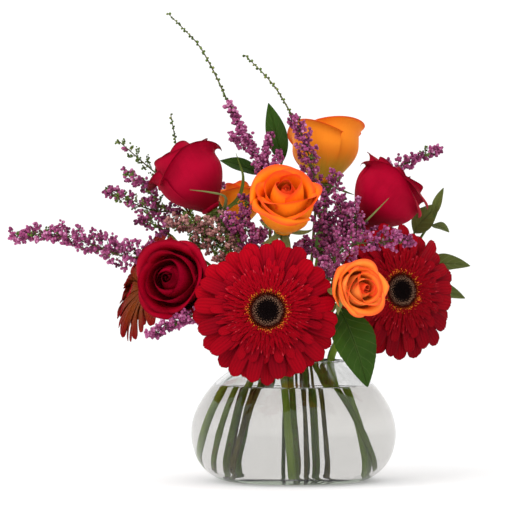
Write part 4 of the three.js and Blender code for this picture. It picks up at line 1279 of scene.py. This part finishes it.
class BOUQUET_OT_vase(bpy.types.Operator):
    """Add the glass vase and the water in it"""

    bl_idname = "bouquet.vase"
    bl_label = "Vase and water"
    bl_options = {"REGISTER", "UNDO"}

    def execute(self, context):
        scene = context.scene
        sides = scene.bouquet_sizes.vase_sides
        line = vase_glass()
        wet = (line[:-1, 1] < WATER_LEVEL) & (np.arange(len(line) - 1) > np.argmax(line[:, 1]))
        foot = (line[:-1, 1] < FOOT_TOP) & (line[:-1, 0] > FOOT_EDGE)
        glass = Shape()
        glass.rings(turned(line, sides), 0.0, wet + 2 * foot)  # dry 0, wet 1, foot 2
        looks = [clear_finish("glass", GLASS_INDEX, (0.845, 0.845, 0.84), 0.0002),
                 clear_finish("wet glass", GLASS_INDEX / WATER_INDEX, (0.68, 0.665, 0.645)),
                 # the foot's dark green: the thick glass's own green, darkened as painted reflection of the
                 # surroundings and stems
                 clear_finish("green foot with painted dark reflection", GLASS_INDEX, (0.25, 0.34, 0.23))]
        glass.piece("glass_vase", "glass", looks, "vase")
        side, top = water_body()
        line = np.vstack([side, top])
        water = Shape()
        water.rings(turned(line, sides), 0.0, (np.arange(len(line) - 1) >= len(side) - 1).astype(int))
        hidden = Finish("water side", Alpha=0.0).material
        surface = clear_finish("water", WATER_INDEX, (0.96, 0.96, 0.955), 0.0001)
        water.piece("vase_water", "water", [hidden, surface], "water")
        return {"FINISHED"}


class BOUQUET_OT_roses(bpy.types.Operator):
    """Add the roses with their cups, sepals, stems and leaves"""

    bl_idname = "bouquet.roses"
    bl_label = "Roses"
    bl_options = {"REGISTER", "UNDO"}

    def execute(self, context):
        scene = context.scene
        red, orange = scene.bouquet_colours.red_rose, scene.bouquet_colours.orange_rose
        petals = {
            "red": (0.07, 0.3, 0.05, (0.2, 0.001, 0.008), red, (0.17, 0.0, 0.008), (0.36, 0.0005, 0.014)),
            "orange": (0.19, 0.25, 0.07, (0.9, 0.4, 0.015), orange, (0.95, 0.085, 0.018), (1, 0.25, 0.008)),
            "peach": (0.15, 0.15, 0.07, (0.95, 0.48, 0.06), (1, 0.35, 0.07), (0.95, 0.1, 0.025),
                      (1, 0.33, 0.04)),
            "ochre": (0.08, 0.12, 0.07, (0.5, 0.36, 0.03), (0.9, 0.25, 0.015), (0.85, 0.1, 0.012),
                      (0.9, 0.22, 0.012)),
        }
        looks = {
            colour: petal_finish(f"{colour} rose petal", tones, rim, blush, Specular_IOR_Level=shine)
            for colour, (rim, blush, shine, *tones) in petals.items()}
        stem = stem_finish("rose stem", (0.06, 0.12, 0.012), (0.17, 0.25, 0.03), (0.14, 0.06, 0.02))
        sepal = leaf_finish("sepal", (0.13, 0.18, 0.025), (0.26, 0.3, 0.11), (0.26, 0.28, 0.08), 4.0, 0.5)
        face = tuple(scene.bouquet_colours.leaf)
        leaf = leaf_finish("rose leaf", face, (0.1, 0.16, 0.05), (0.08, 0.13, 0.03), 8.0, 0.4)
        thick, leaf_thick = scene.bouquet_sizes.petal_thick / MM, scene.bouquet_sizes.leaf_thick / MM
        for number, (name, rose) in enumerate(ROSES.items()):
            seat, route = seat_of(rose)
            bloom = Shape()
            middles, shade = rose_petals(rose)
            bloom.sheets(seat(middles), thick, shade)
            bloom.rings(seat(turned(ROSE_CORE, 20)), 0.0)
            slot = "red_rose_petal" if rose["colour"] == "red" else "orange_rose_petal"
            bloom.piece(f"{name}_bloom", slot, [looks[rose["colour"]]], name)
            green = Shape()
            tone = number / len(ROSES)
            path = add_stem(green, rose, route, "rose", number, tone)
            green.rings(seat(turned(ROSE_CUP, 20)), tone, 1)
            green.sheets(seat(sepals_of(rose)), 0.5, np.linspace(0, 1, 5), 1)
            for knots, wide in CURLED_SEPALS.get(name, []):
                green.sheets(curled_sepal(knots, wide), 0.5, 0.5, 1)
            for leaf_facts in ROSE_LEAVES.get(name, []):
                add_leaf(green, leaf_facts, path, leaf_thick, 2, 0.3)
            green.piece(f"{name}_green", "rose_stem", [stem, sepal, leaf], f"{name}_stem")
        return {"FINISHED"}


class BOUQUET_OT_gerberas(bpy.types.Operator):
    """Add the gerberas with their discs, cups and stems"""

    bl_idname = "bouquet.gerberas"
    bl_label = "Gerberas"
    bl_options = {"REGISTER", "UNDO"}

    def execute(self, context):
        scene = context.scene
        body = tuple(scene.bouquet_colours.gerbera)
        bright = [(0.03, 0.0, 0.002), body, (0.44, 0.0005, 0.009), (0.7, 0.04, 0.06), (0.42, 0.09, 0.012)]
        petal = floret_finish("gerbera floret", bright)
        # a darker copy of the florets' colours for the gerbera that faces away from the light: painted shade
        deep = [darker(colour, share) for colour, share in zip(bright, (0.8, 0.8, 0.75, 0.8, 1))]
        shaded_copy_petal = floret_finish("painted shade gerbera floret", deep)
        disc = disc_finish("gerbera disc")
        stem = stem_finish("gerbera stem", (0.14, 0.25, 0.02), (0.27, 0.38, 0.06), (0.16, 0.24, 0.03), 0.45)
        bract = leaf_finish("bract", (0.1, 0.17, 0.04), (0.2, 0.26, 0.1), (0.16, 0.2, 0.07), 3.0, 0.5)
        thick = scene.bouquet_sizes.floret_thick / MM
        for number, (name, gerbera) in enumerate(GERBERAS.items()):
            seat, route = seat_of(gerbera)
            petals = Shape()
            gerbera_florets(petals, gerbera, thick, 100 * (number + 1))
            petals.corners = [seat(corners) for corners in petals.corners]
            petals.rings(seat(turned(GERBERA_PAD, 32)), 0.2)
            look = shaded_copy_petal if gerbera.get("deep") else petal
            petals.piece(f"{name}_florets", "gerbera_petal", [look], f"{name}_petals")
            middle = Shape()
            middle.rings(seat(turned(GERBERA_DOME, 32)), 0.1)
            knobs, share = disc_knobs()
            middle.rings(seat(knobs), share)
            middle.piece(f"{name}_middle", "gerbera_disc", [disc], f"{name}_disc")
            green = Shape()
            tone = number / len(GERBERAS)
            add_stem(green, gerbera, route, "gerbera", number, tone)
            green.rings(seat(turned(GERBERA_CUP, 24)), tone, 1)
            green.sheets(seat(gerbera_bracts(number)), 0.4, np.linspace(0, 1, 48), 1)
            green.piece(f"{name}_green", "gerbera_stem", [stem, bract], f"{name}_stem")
        return {"FINISHED"}


class BOUQUET_OT_heather(bpy.types.Operator):
    """Add the sprays of heather on their woody stems"""

    bl_idname = "bouquet.heather"
    bl_label = "Heather"
    bl_options = {"REGISTER", "UNDO"}

    def execute(self, context):
        scene = context.scene
        wood = stem_finish(
            "heather wood", (0.06, 0.055, 0.014), (0.16, 0.15, 0.035), (0.06, 0.03, 0.012), 0.65)
        twig = stem_finish("heather twig", (0.05, 0.05, 0.015), (0.11, 0.1, 0.03), (0.06, 0.03, 0.015), 0.6)
        pink = tuple(scene.bouquet_colours.heather)
        purple = bell_finish("heather bells", (0.075, 0.008, 0.035), pink, (0.68, 0.3, 0.5))
        faded = bell_finish("faded bells", (0.13, 0.04, 0.04), (0.38, 0.16, 0.15), (0.62, 0.38, 0.32))
        bud = bell_finish("heather bud", (0.04, 0.07, 0.01), (0.1, 0.16, 0.025), (0.26, 0.27, 0.08))
        bell = scene.bouquet_sizes.bell / MM
        for number, (name, heather) in enumerate(HEATHERS.items()):
            stem = Shape()
            tone = number / len(HEATHERS)
            add_stem(stem, heather, heather["route"], "heather", number, tone)
            fork = heather["route"][-1]
            for order, (part, spray) in enumerate(heather["sprays"].items()):
                seed = 1000 + 10 * number + order
                if "reach" not in spray:
                    budded_twig(stem, [fork, *spray["path"]], seed, 1, 2)
                    continue
                line = flowing([fork, *spray["path"]], 200)
                first = np.argmin(np.linalg.norm(line - np.array(spray["path"][0], float), axis=1))
                joint = line[: first + 3]
                stem.rings(tube(spaced(joint, 14), TWIG_RADIUS, 6), tone)
                bells = Shape()
                heather_spray(bells, spray, bell, seed)
                look = faded if spray.get("faded") else purple
                slot = "faded_bells" if spray.get("faded") else "heather_bells"
                bells.piece(f"{name}_{part}_bells", slot, [twig, look, bud], f"{name}_{part}")
                if "tip" in spray:
                    tip = Shape()
                    budded_twig(tip, [spray["path"][-1], *spray["tip"]], seed + 5, 0, 1)
                    tip.piece(f"{name}_{part}_bud_tip", "green_twig", [twig, bud], f"{name}_{part}_tip")
            stem.piece(f"{name}_wood", "woody_twig", [wood, twig, bud], f"{name}_stem")
        return {"FINISHED"}


class BOUQUET_OT_leaves(bpy.types.Operator):
    """Add the leafy green stems"""

    bl_idname = "bouquet.leaves"
    bl_label = "Leafy stems"
    bl_options = {"REGISTER", "UNDO"}

    def execute(self, context):
        scene = context.scene
        green = tuple(scene.bouquet_colours.leaf)
        dark = leaf_finish("ruscus leaf", green, (0.07, 0.12, 0.03), (0.09, 0.14, 0.03), 6.0, 0.32)
        pale = leaf_finish(
            "olive leaf", (0.12, 0.15, 0.035), (0.2, 0.23, 0.09), (0.26, 0.28, 0.12), 6.0, 0.45)
        stem = stem_finish("leafy stem", (0.05, 0.09, 0.02), (0.12, 0.17, 0.04), (0.05, 0.06, 0.015))
        thick = scene.bouquet_sizes.leaf_thick / MM
        for number, (name, plant) in enumerate(LEAFY_STEMS.items()):
            shape = Shape()
            path = add_stem(shape, plant, plant["route"], "leafy", number, number / len(LEAFY_STEMS))
            for order, leaf in enumerate(plant["leaves"]):
                add_leaf(shape, leaf, path, thick, 1, order / 5)
            shape.piece(f"{name}_leaves", "leaf", [stem, pale if plant.get("pale") else dark], name)
        return {"FINISHED"}


STEPS = (BOUQUET_OT_stage, BOUQUET_OT_vase, BOUQUET_OT_roses, BOUQUET_OT_gerberas, BOUQUET_OT_heather,
         BOUQUET_OT_leaves)


class BOUQUET_PT_sidebar(bpy.types.Panel):
    """Lists the arrangement's settings and steps"""

    bl_label = "Bouquet"
    bl_space_type = "VIEW_3D"
    bl_region_type = "UI"
    bl_category = "Bouquet"

    def draw(self, context):
        for key in SETTINGS:
            settings = getattr(context.scene, key)
            box = self.layout.box()
            for setting in settings.__annotations__:
                box.prop(settings, setting)
        for step in STEPS:
            self.layout.operator(step.bl_idname)


SETTINGS = {"bouquet_colours": BouquetColours, "bouquet_sizes": BouquetSizes, "bouquet_stage": BouquetStage}


def register():
    for cls in (*SETTINGS.values(), *STEPS, BOUQUET_PT_sidebar):
        bpy.utils.register_class(cls)
    for key, cls in SETTINGS.items():
        setattr(bpy.types.Scene, key, PointerProperty(type=cls))


def unregister():
    for key in SETTINGS:
        delattr(bpy.types.Scene, key)
    for cls in (BOUQUET_PT_sidebar, *reversed(STEPS), *reversed(SETTINGS.values())):
        bpy.utils.unregister_class(cls)


def main():
    register()
    bpy.ops.bouquet.stage()
    bpy.ops.bouquet.vase()
    bpy.ops.bouquet.roses()
    bpy.ops.bouquet.gerberas()
    bpy.ops.bouquet.heather()
    bpy.ops.bouquet.leaves()


if __name__ == "__main__":
    main()
